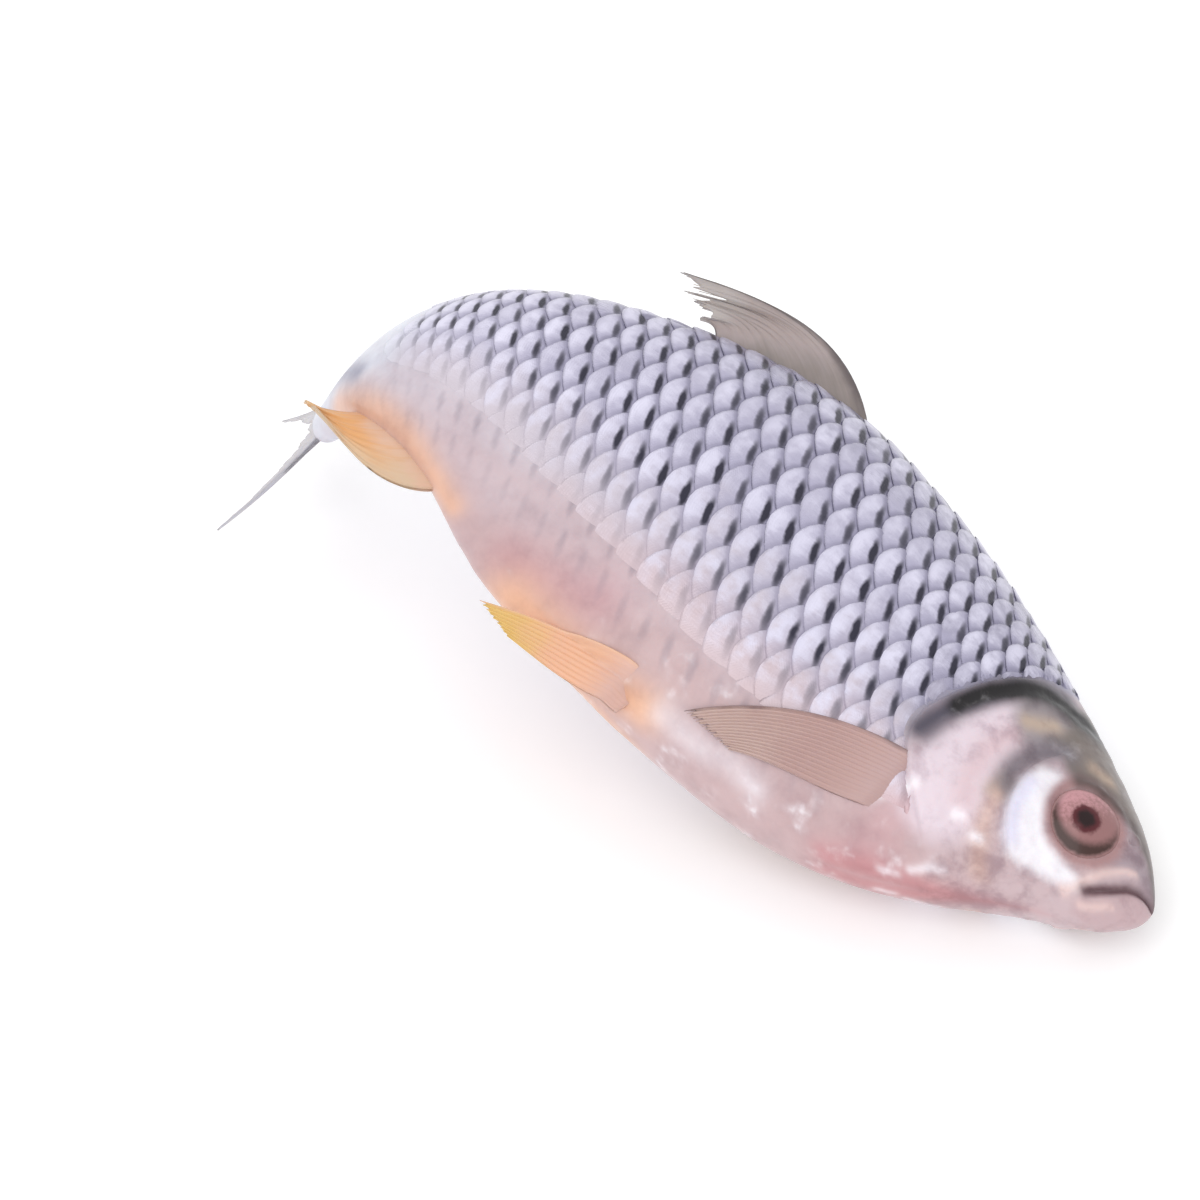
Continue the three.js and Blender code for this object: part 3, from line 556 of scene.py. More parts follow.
HEAD_STROKES = [
    (HEAD_TAN, 0.75, (1.8, 1.8), [(0.083, 12.2), (0.098, 11.2)]),
    (HEAD_TAN, 0.85, (2.2, 1.8), [(0.148, 11.5), (0.158, 8.6), (0.168, 7)]),
    (HEAD_TAN, 0.7, (2.0, 1.6), [(0.15, -6.5), (0.156, -10)]),
    (HEAD_OLIVE, 0.6, (2.0, 1.6), [(0.13, 12), (0.14, 8)]),
    (LID_BROWN, 0.9, (1.7, 1.7), EYE_RING),
    (BROW_BROWN, 0.95, (1.4, 2.2), [(-0.01, 2.6), (0.004, 5.4), (0.02, 7.4), (0.045, 8.6),
     (0.07, 8.2), (0.09, 7), (0.1, 5.4)]),
    (CRESCENT_GREY, 0.85, (2.6, 2.8), [(0.124, 8.5), (0.133, 6.4), (0.142, 3.2), (0.149, -0.5),
     (0.151, -4), (0.147, -8)]),
    (GILL_PEACH, 0.6, (1.8, 2.4), [(0.148, -10), (0.147, -14), (0.139, -19), (0.128, -24)]),
    (GILL_PINK, 0.5, (2.6, 3.4), [(0.17, 2), (0.178, -4), (0.176, -10), (0.17, -15)]),
    (NAPE_GREY, 0.75, (1.6, 3.0), [(0.196, 8.5), (0.212, 3), (0.226, -3), (0.234, -9)]),
    (NAPE_GREY, 1.0, (3.0, 2.6), [(0.16, 23), (0.177, 20), (0.193, 16), (0.206, 12)]),
    (NAPE_DUSK, 1.0, (2.4, 3.0), NAPE_END),
    (NAPE_BLACK, 1.25, (4.0, 2.2), NAPE_BAND),
    (CHEEK_LILAC, 0.8, (1.6, 1.8), [(0.131, -3), (0.129, -9), (0.118, -14)]),
    # painted highlights along the pale upper lip and on the chin
    (LIP_HIGHLIGHT, 0.6, (0.7, 1.2), UPPER_LIP),
    (LIP_HIGHLIGHT, 0.5, (0.7, 0.9), [(0.016, -8), (0.03, -11.6), (0.04, -13.6)]),
    # painted shade in the mouth slit, between the lips
    (MOUTH_SLIT_SHADE, 0.95, (0.8, 1.1), MOUTH_LINE),
    (BELLY_RED, 0.75, (2.5, 4.0), [(0.06, -25), (0.1, -30), (0.15, -35), (0.2, -39), (0.25, -44)]),
    # white strokes from here on: painted highlights on the wet throat and belly
    (PALE_STREAK_AND_HIGHLIGHT, 0.8, (1.2, 1.5), [(0.213, -19.5), (0.225, -22.5), (0.242, -26.5)]),
    (PALE_STREAK_AND_HIGHLIGHT, 0.75, (1.1, 1.1), [(0.14, -19), (0.145, -19.4)]),
    (PALE_STREAK_AND_HIGHLIGHT, 0.75, (1.0, 1.2), [(0.163, -18), (0.168, -18.6)]),
    (PALE_STREAK_AND_HIGHLIGHT, 0.6, (0.8, 1.0), [(0.154, -29), (0.166, -31), (0.18, -34)]),
    (PALE_STREAK_AND_HIGHLIGHT, 0.5, (1.0, 1.0), [(0.19, -37), (0.204, -38.5)]),
]
FLANK_STROKES = [
    (BELLY_ROSE, 0.7, (7.0, 6.0), [(0.56, -31), (0.6, -33), (0.64, -34)]),
    (BELLY_ROSE, 0.5, (4.0, 6.0), [(0.2, -22), (0.215, -28), (0.22, -36)]),
    (BELLY_PEACH, 0.9, (5.0, 7.0), [(0.46, -43), (0.51, -44), (0.56, -44), (0.62, -42)]),
    (BELLY_PEACH, 0.7, (3.0, 5.0), [(0.72, -31), (0.78, -24), (0.85, -16), (0.92, -10)]),
    # painted highlight on the wet belly
    (PALE_STREAK_AND_HIGHLIGHT, 0.5, (3.6, 3.0), [(0.44, -41), (0.4, -41.5), (0.37, -40), (0.335, -41)]),
    (STALK_STREAK, 0.8, (2.6, 3.2), [(0.885, -5), (0.92, -1), (0.96, 4.5), (1.0, 10.5)]),
]
NAPE_LINE = NAPE_BAND + NAPE_END[1:]


def paint_over(paint, colour, share):
    return lerp(paint, np.array(colour[:3]), np.clip(share, 0, 1)[..., None])


def stroke_over(paint, s, arc, stroke):
    colour, strength, widths, places = stroke
    away, along = distance_to(rounded(places), s, arc)
    return paint_over(paint, colour, strength * groove(away, lerp(*widths, along)))


# colours of the bare flank, over each other, and the levels where each comes in
FLANK_BANDS = [(FLANK_PINK, -0.135, -0.09), (FLANK_PALE, -0.085, -0.03),
    (FLANK_LILAC, -0.03, 0.05), (BACK_GREY, 0.12, 0.21)]


def flank_paint(s, arc, h):
    """The skin's colours from the belly to the back."""
    drift = 0.012 * uneven(s * 26, h * 34, 21)
    level = h + drift
    paint = np.broadcast_to(np.array(BELLY_PINK[:3]), s.shape + (3,))
    for colour, low, high in FLANK_BANDS:
        paint = paint_over(paint, colour, smooth(level, low, high))
    front = (1 - smooth(s, 0.24, 0.4)) * smooth(level, -0.06, 0.0)
    paint = paint_over(paint, FRONT_GREY, 0.75 * front)
    stalk = smooth(s + drift, 0.82, 0.88) * smooth(level, -0.05, -0.01)
    paint = paint_over(paint, STALK_BLUE, stalk)
    for stroke in FLANK_STROKES:
        paint = stroke_over(paint, s + drift * 0.4, arc, stroke)
    return paint


def body_paint(s, arc, h):
    """All the colours of the bare skin, the head's patches over the flank's."""
    wobble = 0.35 * uneven(s * 190, arc * 0.8, 31)
    paint = flank_paint(s, arc, h)
    before = 1 - smooth((s - scale_front_at(h)) * LENGTH, -3, 1)
    lower = smooth(h, -0.13, -0.1)
    paint = paint_over(paint, HEAD_PINK, before * lower * 0.8)
    for colour, strength, feather, places in HEAD_AREAS:
        paint = paint_over(paint, colour, strength * inside(places, s, arc + wobble, feather))
    for stroke in HEAD_STROKES:
        paint = stroke_over(paint, s, arc + wobble * 0.6, stroke)
    return paint


def wet_patches(s, arc, h):
    """Where the skin of the belly and the gill cover shines wet, 0 to 1: glossier there, and
    painted with highlights.
    """
    blots = uneven(s * 75, arc * 0.32, 41) + 0.5 * uneven(s * 190, arc * 0.8, 42)
    belly = smooth(-h, 0.085, 0.125) * (1 - smooth(s, 0.5, 0.6))
    return 0.7 * smooth(blots, -0.2, 1.5) * belly * smooth(s, 0.1, 0.2)


def make_skin_look():
    look = Look("wet_skin")
    wet, rough, head = look.mark("wetness")
    patches = look.noise(70.0, 4.0) - 0.5
    streaks = look.noise(190.0, 4.0, 0.6, 0.2) - 0.5
    fine = look.noise(420.0) - 0.5
    painted = look.vector("paint")
    dark = look.shade(painted, (0.66, 0.6, 0.63))
    shade = patches * (0.8 + head * 1.6) + streaks * (0.9 + head * 1.5) + 0.38
    # glow is painted highlight on the wet patches; the mix below lays pale streaks and then this
    # highlight in white over the skin
    glow = wet * (0.7 + streaks * 2.5 + fine * 1.5)
    colour = look.mix(painted, (dark, shade.between(0.1, 1.1)),
                      (PALE_STREAK_AND_HIGHLIGHT, (streaks * 0.9 - patches * 0.8).between(0.1, 0.6) * 0.4),
                      (PALE_STREAK_AND_HIGHLIGHT, glow.between(0.0, 1.0) * 0.7))
    shine = 0.4 + patches * 0.2 - wet * 0.16 + rough * 0.2
    grain = fine * 0.6 + look.noise(150.0)
    normal = look.bump(grain, 0.25, 0.0006)
    return look.finish(Base_Color=colour, Roughness=shine, Normal=normal, IOR=1.38,
                       Subsurface_Weight=0.1, Subsurface_Radius=(0.004, 0.002, 0.0015),
                       Subsurface_Scale=0.5, Coat_Weight=0.3, Coat_Roughness=0.15)


# the dark bar of a scale: shares of its pitch along, and of a row across
BAR_PLACE, BAR_HALF_WIDTH, BAR_HALF_HEIGHT = 0.82, 0.16, 0.4


def make_scale_look():
    """Scales: a painted sheen on their bodies, a dark bar where each comes out, thin lines of
    painted shade between.
    """
    look = Look("silver_scales")
    along, across, chance = look.mark("plate")
    clear, sheen, shade_net = look.mark("clearness")
    patches = look.noise(70.0) - 0.5
    mottle = look.noise(330.0) - 0.5
    grain = look.noise(3.0, where=look.join(along, across * 5.0, chance * 40.0)) - 0.5
    off = across.size()
    off_next = 1.0 - off
    own = -1.0 - off * off * PLATE_CURVE
    beside = -0.5 - off_next * off_next * PLATE_CURVE
    shown = along + grain * 0.05 - own.most(beside)
    painted = look.vector("paint")
    glint = chance * 0.5 + patches * 1.3 + mottle * 1.6
    # a painted sheen: white glints laid over the scales; the lilac copy below is the same scale
    # unlit
    pale = look.mix(painted, (SCALE_SHEEN, (sheen * (glint + 0.35)).between(0.0, 1.0)))
    dull = look.mix(painted, (SCALE_LILAC, 0.7 * clear))
    # each scale's body shows the sheen copy away from its front edge and towards its top: painted
    # light on a rounded scale
    body = (shown + grain * 0.3 + across * 0.15 + mottle * 0.5).between(0.05, 0.75)
    rim = (along + off * off * PLATE_CURVE + mottle * 0.2).between(-0.2, 0.05)
    slanted = (along + BAR_PLACE - across * 0.3 + mottle * 0.2) / BAR_HALF_WIDTH
    tapered = off / BAR_HALF_HEIGHT
    bar = (slanted * slanted + tapered * tapered).between(1.5, 0.0)
    # the two line layers are painted shade: one along each scale's turned-down rear rim, one just
    # behind the rear edges of the scales lying over it
    colour = look.mix(dull, (pale, body * (0.85 + patches * 0.6)),
                      (SCALE_SHADE_LINE, (rim + mottle) * shade_net * 0.35),
                      (SCALE_SHADE_LINE, shown.between(0.25, 0.0) * shade_net * 0.6),
                      (SCALE_BAR, bar * clear * (0.85 + chance * 0.35)))
    shine = 0.3 + patches * 0.2 + bar * 0.15 + grain * 0.1
    ridges = (shown * 60.0).math("SINE")
    normal = look.bump(ridges * 0.1 + grain, 0.3, 0.0004)
    return look.finish(Base_Color=colour, Roughness=shine, Normal=normal, Metallic=0.08,
                       IOR=1.45, Coat_Weight=0.3, Coat_Roughness=0.14)


def make_eye_look():
    look = Look("clear_eye")
    radius, up, forward = look.mark("ring")
    mottle = look.noise(700.0) - 0.5
    streaks = look.noise(5.0, where=look.join(up * 2.0, forward * 2.0)) - 0.5
    # the iris is painted paler towards its top and rear, where light falls, over its own streaks;
    # its rim is painted darker, widest on the lower side, as painted shade
    lit = streaks * 0.8 + up * 0.25 - forward * 0.45
    shaded_rim = radius + streaks * 0.12 - up * 0.34 + forward * 0.06
    edge = radius + mottle * 0.14 + streaks * 0.05
    colour = look.mix(IRIS_PINK, (IRIS_PALE, (lit + mottle * 0.4).between(-0.1, 0.55)),
                      (IRIS_BROWN, shaded_rim.between(0.68, 1.02)),
                      (LID_BROWN, (radius + mottle * 0.1).between(0.88, 1.0) * 0.8),
                      (PUPIL_MAROON, edge.between(0.48, 0.34)),
                      (PUPIL_DARK, edge.between(0.34, 0.16)))
    normal = look.bump(mottle, 0.1, 0.0002)
    return look.finish(Base_Color=colour, Roughness=0.3 + mottle * 0.1, Normal=normal,
                       IOR=1.36, Coat_Weight=0.25, Coat_Roughness=0.1)


def make_fin_look(name, root, middle, tip, ray, edge, opaque=0.96, tip_opaque=0.85):
    """Thin fin skin: colours from root to tip, a first edge, faint rays, clear rim."""
    look = Look(name)
    across, out, ridge = look.mark("fin")
    patches = look.noise(110.0) - 0.5
    drawn = look.noise(1.0, where=look.join(across * 30.0, out * 2.5)) - 0.5
    reach = out + patches * 0.35 + drawn * 0.25
    front = (across + patches * 0.12).between(edge[1], 0.0)
    rays = (ridge * 0.3 + drawn + patches + 0.1).between(0.2, 0.9)
    colour = look.mix(root, (middle, reach.between(0.05, 0.4)), (tip, reach.between(0.55, 0.95)),
                      (edge[0], front * reach.between(0.0, 0.2) * 0.85), (ray, rays * 0.35))
    shine = 0.38 + drawn * 0.15
    normal = look.bump(ridge * 0.4 + drawn * 0.5, 0.12, 0.0003)
    alpha = opaque - out.between(0.45, 1.0) * (opaque - tip_opaque) * (1.0 - ridge * 0.6)
    return look.finish(Base_Color=colour, Roughness=shine, Normal=normal, Alpha=alpha,
                       IOR=1.4, Subsurface_Weight=0.1, Subsurface_Radius=(0.003, 0.002, 0.001),
                       Subsurface_Scale=0.5, Coat_Weight=0.25, Coat_Roughness=0.2)


# heights and depths of the head's forms, in millimetres
GILL_STEP, CHEEK_GROOVE, CHEEK_STEP, BONE_HEIGHT, NAPE_DIP = 1.1, 0.6, 0.35, 0.16, 0.3
MOUTH_DEPTH, MOUTH_HALF, LIP_HEIGHT, LIP_HALF = 1.7, 0.85, 0.6, 1.3
SOCKET_DEPTH, LID_HEIGHT, LID_AWAY = 1.2, 0.35, 1.4
NOSTRIL_S, NOSTRIL_H, NOSTRIL_DEPTH, NOSTRIL_RIM = 0.034, -0.002, 0.7, 0.25


def head_relief(s, arc, h):
    """Height of the head's own forms off the plain skin, millimetres."""
    past_gill = (s - scale_front_at(h)) * LENGTH
    side = smooth(h, -0.13, -0.1) * (1 - smooth(h, 0.05, 0.09))
    plate = smooth(s, 0.13, 0.2) * (1 - smooth(past_gill, -0.3, 0.6)) * side
    past_cheek = (s - cheek_edge_at(h)) * LENGTH
    cheek = smooth(h, -0.1, -0.08) * (1 - smooth(h, 0.02, 0.04)) * smooth(s, 0.03, 0.05)
    relief = GILL_STEP * plate - CHEEK_GROOVE * groove(past_cheek, 1.1) * cheek
    relief += CHEEK_STEP * cheek * (1 - smooth(past_cheek, -1.2, -0.2)) * smooth(s, 0.1, 0.125)
    slit, along = distance_to(rounded(MOUTH_LINE), s, arc)
    relief -= MOUTH_DEPTH * groove(slit, MOUTH_HALF) * (1 - smooth(along, 0.9, 1) * 0.6)
    upper, _ = distance_to(rounded(UPPER_LIP), s, arc)
    relief += LIP_HEIGHT * groove(upper, LIP_HALF)
    eye = np.hypot((s - EYE_S) * LENGTH, (h - EYE_H) * LENGTH)
    relief -= SOCKET_DEPTH * (1 - smooth(eye, EYE_RADIUS - 1.0, EYE_RADIUS + 0.15))
    relief += LID_HEIGHT * groove(eye - EYE_RADIUS - LID_AWAY, 1.1)
    nostril = np.hypot((s - NOSTRIL_S) * LENGTH, (h - NOSTRIL_H) * LENGTH)
    relief += NOSTRIL_RIM * groove(nostril - 1.5, 0.6) - NOSTRIL_DEPTH * groove(nostril, 0.85)
    band, _ = distance_to(rounded(NAPE_LINE), s, arc)
    relief -= NAPE_DIP * groove(band, 1.6)
    bones = uneven(s * 110, h * 90, 4) * BONE_HEIGHT * smooth(s, 0.0, 0.04)
    return relief + bones * (1 - smooth(past_gill, -4, -1))


# ---- body ----
# below this arc, at each s, the dark bars of the scales fade out
bars_fade_at = curve([(0.15, -15), (0.35, -17), (0.46, -16), (0.55, -12), (0.65, -7), (0.75, -1),
    (0.87, 6)])
BODY_RINGS, BODY_COLUMNS = (200, 230), 104
HEAD_ENDS, BODY_END = 0.26, 1.004


def body_stations():
    nose = SNOUT_S + SNOUT_ROUND * (1 - np.cos(np.linspace(0.06, math.pi / 2, 34)))
    head = np.linspace(nose[-1], HEAD_ENDS, BODY_RINGS[0] - 32)[1:]
    trunk = np.linspace(HEAD_ENDS, 1.0, BODY_RINGS[1])[1:]
    return np.concatenate([nose, head, trunk])


def scaled_area(s, arc, h):
    """1 where scales lie over the skin, 0 where it is bare."""
    above = smooth(arc - bars_fade_at(s), -15, -9)
    return above * smooth((s - scale_front_at(h)) * LENGTH, 1, 4) * (1 - smooth(s, 0.84, 0.87))


def make_body(material):
    s = body_stations()
    shares = np.linspace(-1, 1, BODY_COLUMNS + 1)
    around = np.concatenate([shares, shares[-2:0:-1]])
    sides = np.concatenate([np.ones(BODY_COLUMNS + 1), -np.ones(BODY_COLUMNS - 1)])
    ss, share = np.meshgrid(s, around, indexing="ij")
    side = np.broadcast_to(sides, ss.shape)
    low, high = arc_limits(ss)
    arc = share * np.where(share < 0, low, high)
    turn = turn_of_arc(ss, arc)
    h = section(ss, turn)[0]
    ridge = smooth(np.cos(turn), 0.03, 0.25)
    past = (ss - scale_front_at(h)) * LENGTH
    flesh = uneven(ss * 30, h * 22, 9) * 0.3 * smooth(ss, 0.2, 0.3) * (1 - smooth(ss, 0.8, 1))
    relief = np.where(ss < 0.3, head_relief(ss, arc, h), 0) * (1 - smooth(past, 3, 6)) * ridge
    scaled = scaled_area(ss, arc, h)
    relief = relief + flesh * smooth(-h, 0.06, 0.11) * (1 - scaled) - 0.3 * scaled
    h_out, w_out = lifted(ss, turn, relief)
    points = bend(ss, h_out, w_out * side).reshape(-1, 3)
    wet = wet_patches(ss, arc, h)
    dry = inside(CHEEK, ss, arc, 2.0) * 0.4
    head = (1 - smooth(past, -2, 2)) * (1 - dry * 2.5)
    paint = paint_over(body_paint(ss, arc, h), FAINT_BAR, 0.5 * faint_bars(ss, arc))
    marks = {"paint": paint.reshape(-1, 3),
             "wetness": np.stack([wet, dry, head], -1).reshape(-1, 3)}
    tips = bend([SNOUT_S, BODY_END], [float(widest_at(SNOUT_S)), 0], np.zeros(2))
    points, faces = capped(points, tips, len(around))
    for key, values in marks.items():
        marks[key] = np.vstack([values, [values[0], values[-len(around)]]])
    return face_out(make_piece("fish_body", points, faces, material, marks))


# ---- scales ----
# rows of points along a plate; the rim is 1 at its edge, 2 where the edge is turned down
PLATE_ROWS, PLATE_RIMS = (-1.55, -1.15, -0.8, -0.42, -0.1, 0.0, 0.0), (0, 0, 0, 0, 0, 1, 2)
PLATE_COLUMNS, PLATE_HALF = 9, 0.86
SCALE_ROWS = range(-3, 8)
SCALES_STOP = 0.868
LATTICE_LEAN = 0.10


def make_plate():
    """One flat scale: x along it in pitches, rear edge rounded and turned down."""
    first = PLATE_ROWS[0]
    marks = []
    for along, rim in zip(PLATE_ROWS, PLATE_RIMS):
        for y in np.linspace(-PLATE_HALF, PLATE_HALF, PLATE_COLUMNS):
            x = lerp(first, -PLATE_CURVE * y * y, (along - first) / -first)
            marks.append((x, y, rim))
    points = [(x, y, 0) for x, y, _ in marks]
    faces = grid_faces(len(PLATE_ROWS), PLATE_COLUMNS)
    return make_piece("scale_plate", points, faces, None, {"plate": marks})


def scale_starts():
    """Where, along the flank, the scales of the odd rows end."""
    starts = [SCALES_FROM]
    while starts[-1] < SCALES_STOP:
        starts.append(starts[-1] + float(scale_pitch(starts[-1])) / LENGTH)
    return starts


def faint_bars(s, arc):
    """The last dark bars, faint in the skin below the scales, 0 to 1."""
    place = s - LATTICE_LEAN * arc / LENGTH
    starts = scale_starts()
    count = np.interp(place, starts, np.arange(len(starts)))
    row = (arc - row_start(place)) / scale_row(place)
    across = row - np.round(row)
    ahead = count + BAR_PLACE - np.where(np.round(row) % 2, 0.0, 0.5) + 0.5
    along = (ahead % 1 - 0.5 - across * 0.3) / BAR_HALF_WIDTH
    bar = smooth(1.6 - along ** 2 - (across / BAR_HALF_HEIGHT) ** 2, 0, 1.6)
    chance = 0.6 + 0.4 * uneven(s * 60, arc * 0.3, 55)
    low = smooth(arc - bars_fade_at(s), -26, -12) * (1 - smooth(s, 0.78, 0.86))
    return bar * chance * low * smooth((s - 0.25) * LENGTH, 0, 6)


def scale_seeds():
    """A seed for every scale: its rear tip, row, flank, size and chance."""
    starts = scale_starts()
    rng = np.random.RandomState(7)
    tips, sizes = [], []
    for side in (1, -1):
        for row in SCALE_ROWS:
            phase = 0.0 if row % 2 else 0.5
            for start in starts:
                pitch = float(scale_pitch(start))
                s = start + phase * pitch / LENGTH
                arc = float(row_start(s) + row * scale_row(s))
                s_true = s + LATTICE_LEAN * arc / LENGTH
                low, high = arc_limits(s_true)
                lowest = max(-low + 4, float(bars_fade_at(s_true)) - 14)
                if arc > high + 1.0 or arc < lowest or s_true > SCALES_STOP:
                    continue
                turn = turn_of_arc(np.array(s_true), np.array(arc))
                h = float(section(s_true, turn)[0])
                room = (s_true - float(scale_front_at(h))) * LENGTH
                if room < 0.6 or s_true < 0.152:
                    continue
                tips.append((s * LENGTH, row, side * 1000.0))
                sizes.append((pitch, min(1.0, 0.55 + room / 14), rng.uniform()))
    return np.array(tips), np.array(sizes)


def make_scale_tree():
    """Sets a plate at every seed, as long as the seed's pitch."""
    growth = Growth("scale_rows", Plate="Object", Length="Float", Finish="Material")
    seeds, plate, length, finish = growth.given
    info = growth.node("GeometryNodeObjectInfo", None, {0: plate}, "Geometry")
    long = growth.part("size", 0) * length
    scale = growth.node("ShaderNodeCombineXYZ", None, {0: long, 1: 1.0, 2: 1.0})
    set_out = growth.node("GeometryNodeInstanceOnPoints", None, {
        "Points": seeds, "Instance": info, "Scale": scale})
    return growth.finish(set_out, finish)


def grown(name, seed_piece, tree, **given):
    """The plain mesh that a geometry tree makes from a seed piece."""
    modifier = seed_piece.modifiers.new("grow", "NODES")
    modifier.node_group = tree
    for item in tree.interface.items_tree:
        if item.in_out == "INPUT" and item.name in given:
            modifier[item.identifier] = given[item.name]
    bpy.context.view_layer.update()
    seen = seed_piece.evaluated_get(bpy.context.evaluated_depsgraph_get())
    mesh = bpy.data.meshes.new_from_object(seen)
    mesh.name = name
    seed_piece.modifiers.remove(modifier)
    bpy.data.objects.remove(seed_piece)
    return placed(name, mesh)


def make_scales(material):
    tips, sizes = scale_seeds()
    seeds = make_piece("scale_seeds", tips, [], None, {"size": sizes, "tip": tips})
    plate = make_plate()
    scales = grown("fish_scales", seeds, make_scale_tree(), Plate=plate, Length=1.0,
                   Finish=material)
    bpy.data.objects.remove(plate)
    mesh = scales.data
    plates, tip, size = (vectors(mesh.attributes[key].data, "vector")
                         for key in ("plate", "tip", "size"))
    along, across, rim = plates.T
    small = lerp(0.55, 1.0, size[:, 1])
    place = tip[:, 0] + along * size[:, 0]
    row = tip[:, 1] + across * small
    s = place / LENGTH
    arc = row_start(s) + row * scale_row(s)
    s = s + LATTICE_LEAN * arc / LENGTH
    share = (along + PLATE_CURVE * across ** 2 - PLATE_ROWS[0]) / -PLATE_ROWS[0]
    above = arc - bars_fade_at(s)
    strength = lerp(0.16, 1.0, smooth(above, -10, 2)) * lerp(1, 0.5, smooth(s, 0.7, 0.86))
    tilt = (size[:, 2] - 0.5) * 0.16
    rise = lerp(-0.4, 0.4, smooth(share, 0.0, 0.95)) + tilt * share
    dome = 0.1 * (1 - (across / PLATE_HALF) ** 2) * share
    tucked = 0.45 * smooth(np.abs(across), 0.6, PLATE_HALF) + 0.55 * smooth(-above, 5, 13)
    lift = (rise + dome - 0.12 * (rim > 0.5)) * strength - tucked
    lift = np.where(rim > 1.5, -0.6, lift)
    side = np.sign(tip[:, 2])
    s = np.minimum(s, 0.995)
    s3, h3, _ = on_skin(s, arc, side, 0 * lift)
    past_front = (s3 - scale_front_at(h3)) * LENGTH
    lift = lerp(-1.8, lift, smooth(past_front, -1.0, 1.2))
    s3, h3, w3 = on_skin(s, arc, side, lift)
    points = bend(s3, h3, w3)
    mesh.vertices.foreach_set("co", points.ravel())
    mesh.update()
    face_out(scales, looks_inward(mesh, bend(s3, widest_at(s3), 0 * s3)))
    plates[:, 2] = size[:, 2]
    clear = smooth(above, -12, 10) * (1 - smooth(s, 0.84, 0.88))
    # how strong the scales' painted sheen is, weaker low on the flank and on the back
    sheen = smooth(above, -16, 2) * lerp(1.0, 0.75, smooth(h3, 0.1, 0.2))
    # how strong the painted shade lines between the scales are, half as strong low on the flank
    shade_net = clear * lerp(0.5, 1.0, smooth(h3, 0.02, 0.12))
    set_mark(mesh, "plate", plates)
    set_mark(mesh, "paint", flank_paint(s3, arc, h3))
    set_mark(mesh, "clearness", np.stack([clear, sheen, shade_net], -1))
    return scales


def looks_inward(mesh, middles):
    """Which faces of open plates look in to the backbone, at their first corner."""
    first = [face.vertices[0] for face in mesh.polygons]
    out = vectors(mesh.polygons, "center") - middles[first]
    return (vectors(mesh.polygons, "normal") * out).sum(1) < 0


# ---- eyes ----
EYE_RINGS, EYE_COLUMNS = 26, 56
# millimetres off the skin of the eye's front and of its flat back
EYE_TIPS = (1.55, -3.0)


def make_eye(name, side, material):
    """A low glossy dome in its socket, closed behind."""
    radii = np.concatenate([np.linspace(0.04, 1.0, EYE_RINGS), [1.0]])
    angles = np.linspace(0, 2 * math.pi, EYE_COLUMNS, endpoint=False)
    r, angle = np.meshgrid(radii, angles, indexing="ij")
    ahead, up = r * np.cos(angle), r * np.sin(angle)
    s = EYE_S - ahead * EYE_RADIUS / LENGTH
    h = EYE_H + up * EYE_RADIUS / LENGTH
    lens = 0.55 * np.exp(-(r / 0.5) ** 2)
    lift = -0.75 + 1.75 * np.sqrt(np.maximum(1 - (r * 0.93) ** 2, 0)) + lens
    lift[-1] = EYE_TIPS[1]
    w = side * (skin_at(s, h) + lift / LENGTH)
    points = bend(s, h, w).reshape(-1, 3)
    marks = np.stack([r, up, ahead], -1).reshape(-1, 3)
    middle = float(skin_at(EYE_S, EYE_H))
    caps = bend(EYE_S, EYE_H, side * (middle + np.array(EYE_TIPS) / LENGTH))
    points, faces = capped(points, caps, len(angles))
    marks = np.vstack([marks, [(0, 0, 0), (1, 0, 0)]])
    return face_out(make_piece(name, points, faces, material, {"ring": marks}))


# ---- fins ----
DORSAL_FIN = dict(root_s=(0.476, 0.64), sunk=0.02, tip_s=(0.706, 0.662), tip_h=(0.232, 0.208),
                  bow=(0.053, 0.014), fray=0.008, frays=21, wave=0.006, waves=9, lean=0.0)
ANAL_FIN = dict(root_s=(0.742, 0.868), sunk=-0.014, tip_s=(0.894, 0.945),
                tip_h=(-0.074, -0.036), bow=(-0.04, -0.01), fray=0.003, frays=21, wave=0.003,
                waves=8, lean=0.036)
TAIL_FIN = dict(root_s=0.975, inset=0.006, notch=0.1, lobes=(0.178, 0.214), fork_power=2.0,
                tip_h=(-0.068, 0.106), flare=1.2, fray=0.004, frays=40, wave=0.005, waves=11)
PECTORAL_FIN = dict(root_s=(0.2, 0.222), root_h=(-0.068, -0.118), length=(0.23, 0.154),
                    fall=(0.088, 0.04), fall_power=2.3, fan=(0, -0.014), sunk=0.014, lift=0.004)
PELVIC_FIN = dict(root_s=(0.468, 0.478), root_h=(-0.15, -0.184), length=(0.172, 0.12),
                  fall=(0.036, 0.014), fall_power=1.8, fan=(0.004, -0.01), sunk=0.012,
                  lift=0.003)
TUCKED_PELVIC_FIN = dict(root_s=(0.475, 0.482), root_h=(-0.134, -0.156), length=(0.15, 0.11),
                         fall=(-0.012, -0.03), fall_power=1.5, fan=(0.006, -0.006), sunk=0.012,
                         lift=0.002)
BOW_POWER, FIN_BELLY_GAP, FIN_SURFACES_BY = 0.8, 0.012, 0.16
# how far each half of a forked ray opens, in spaces between rays
FORK_OPENING = 0.24


def across(fin, u):
    """Reads a fin's pairs of sizes at share u of its width, first edge to last."""
    return lambda key: lerp(*fin[key], u)


def folded_ray(fin, edge_at):
    def ray(u, v):
        at = across(fin, u)
        root_s = at("root_s")
        tip_s = at("tip_s") + fin["fray"] * np.sin(u * fin["frays"])
        bow = at("bow") * np.sin(math.pi * v ** BOW_POWER)
        h = lerp(edge_at(root_s) - fin["sunk"], at("tip_h"), v) + bow
        w = (fin["wave"] * np.sin(u * fin["waves"] + v) + fin["lean"]) * v
        return lerp(root_s, tip_s, v), h, w
    return ray


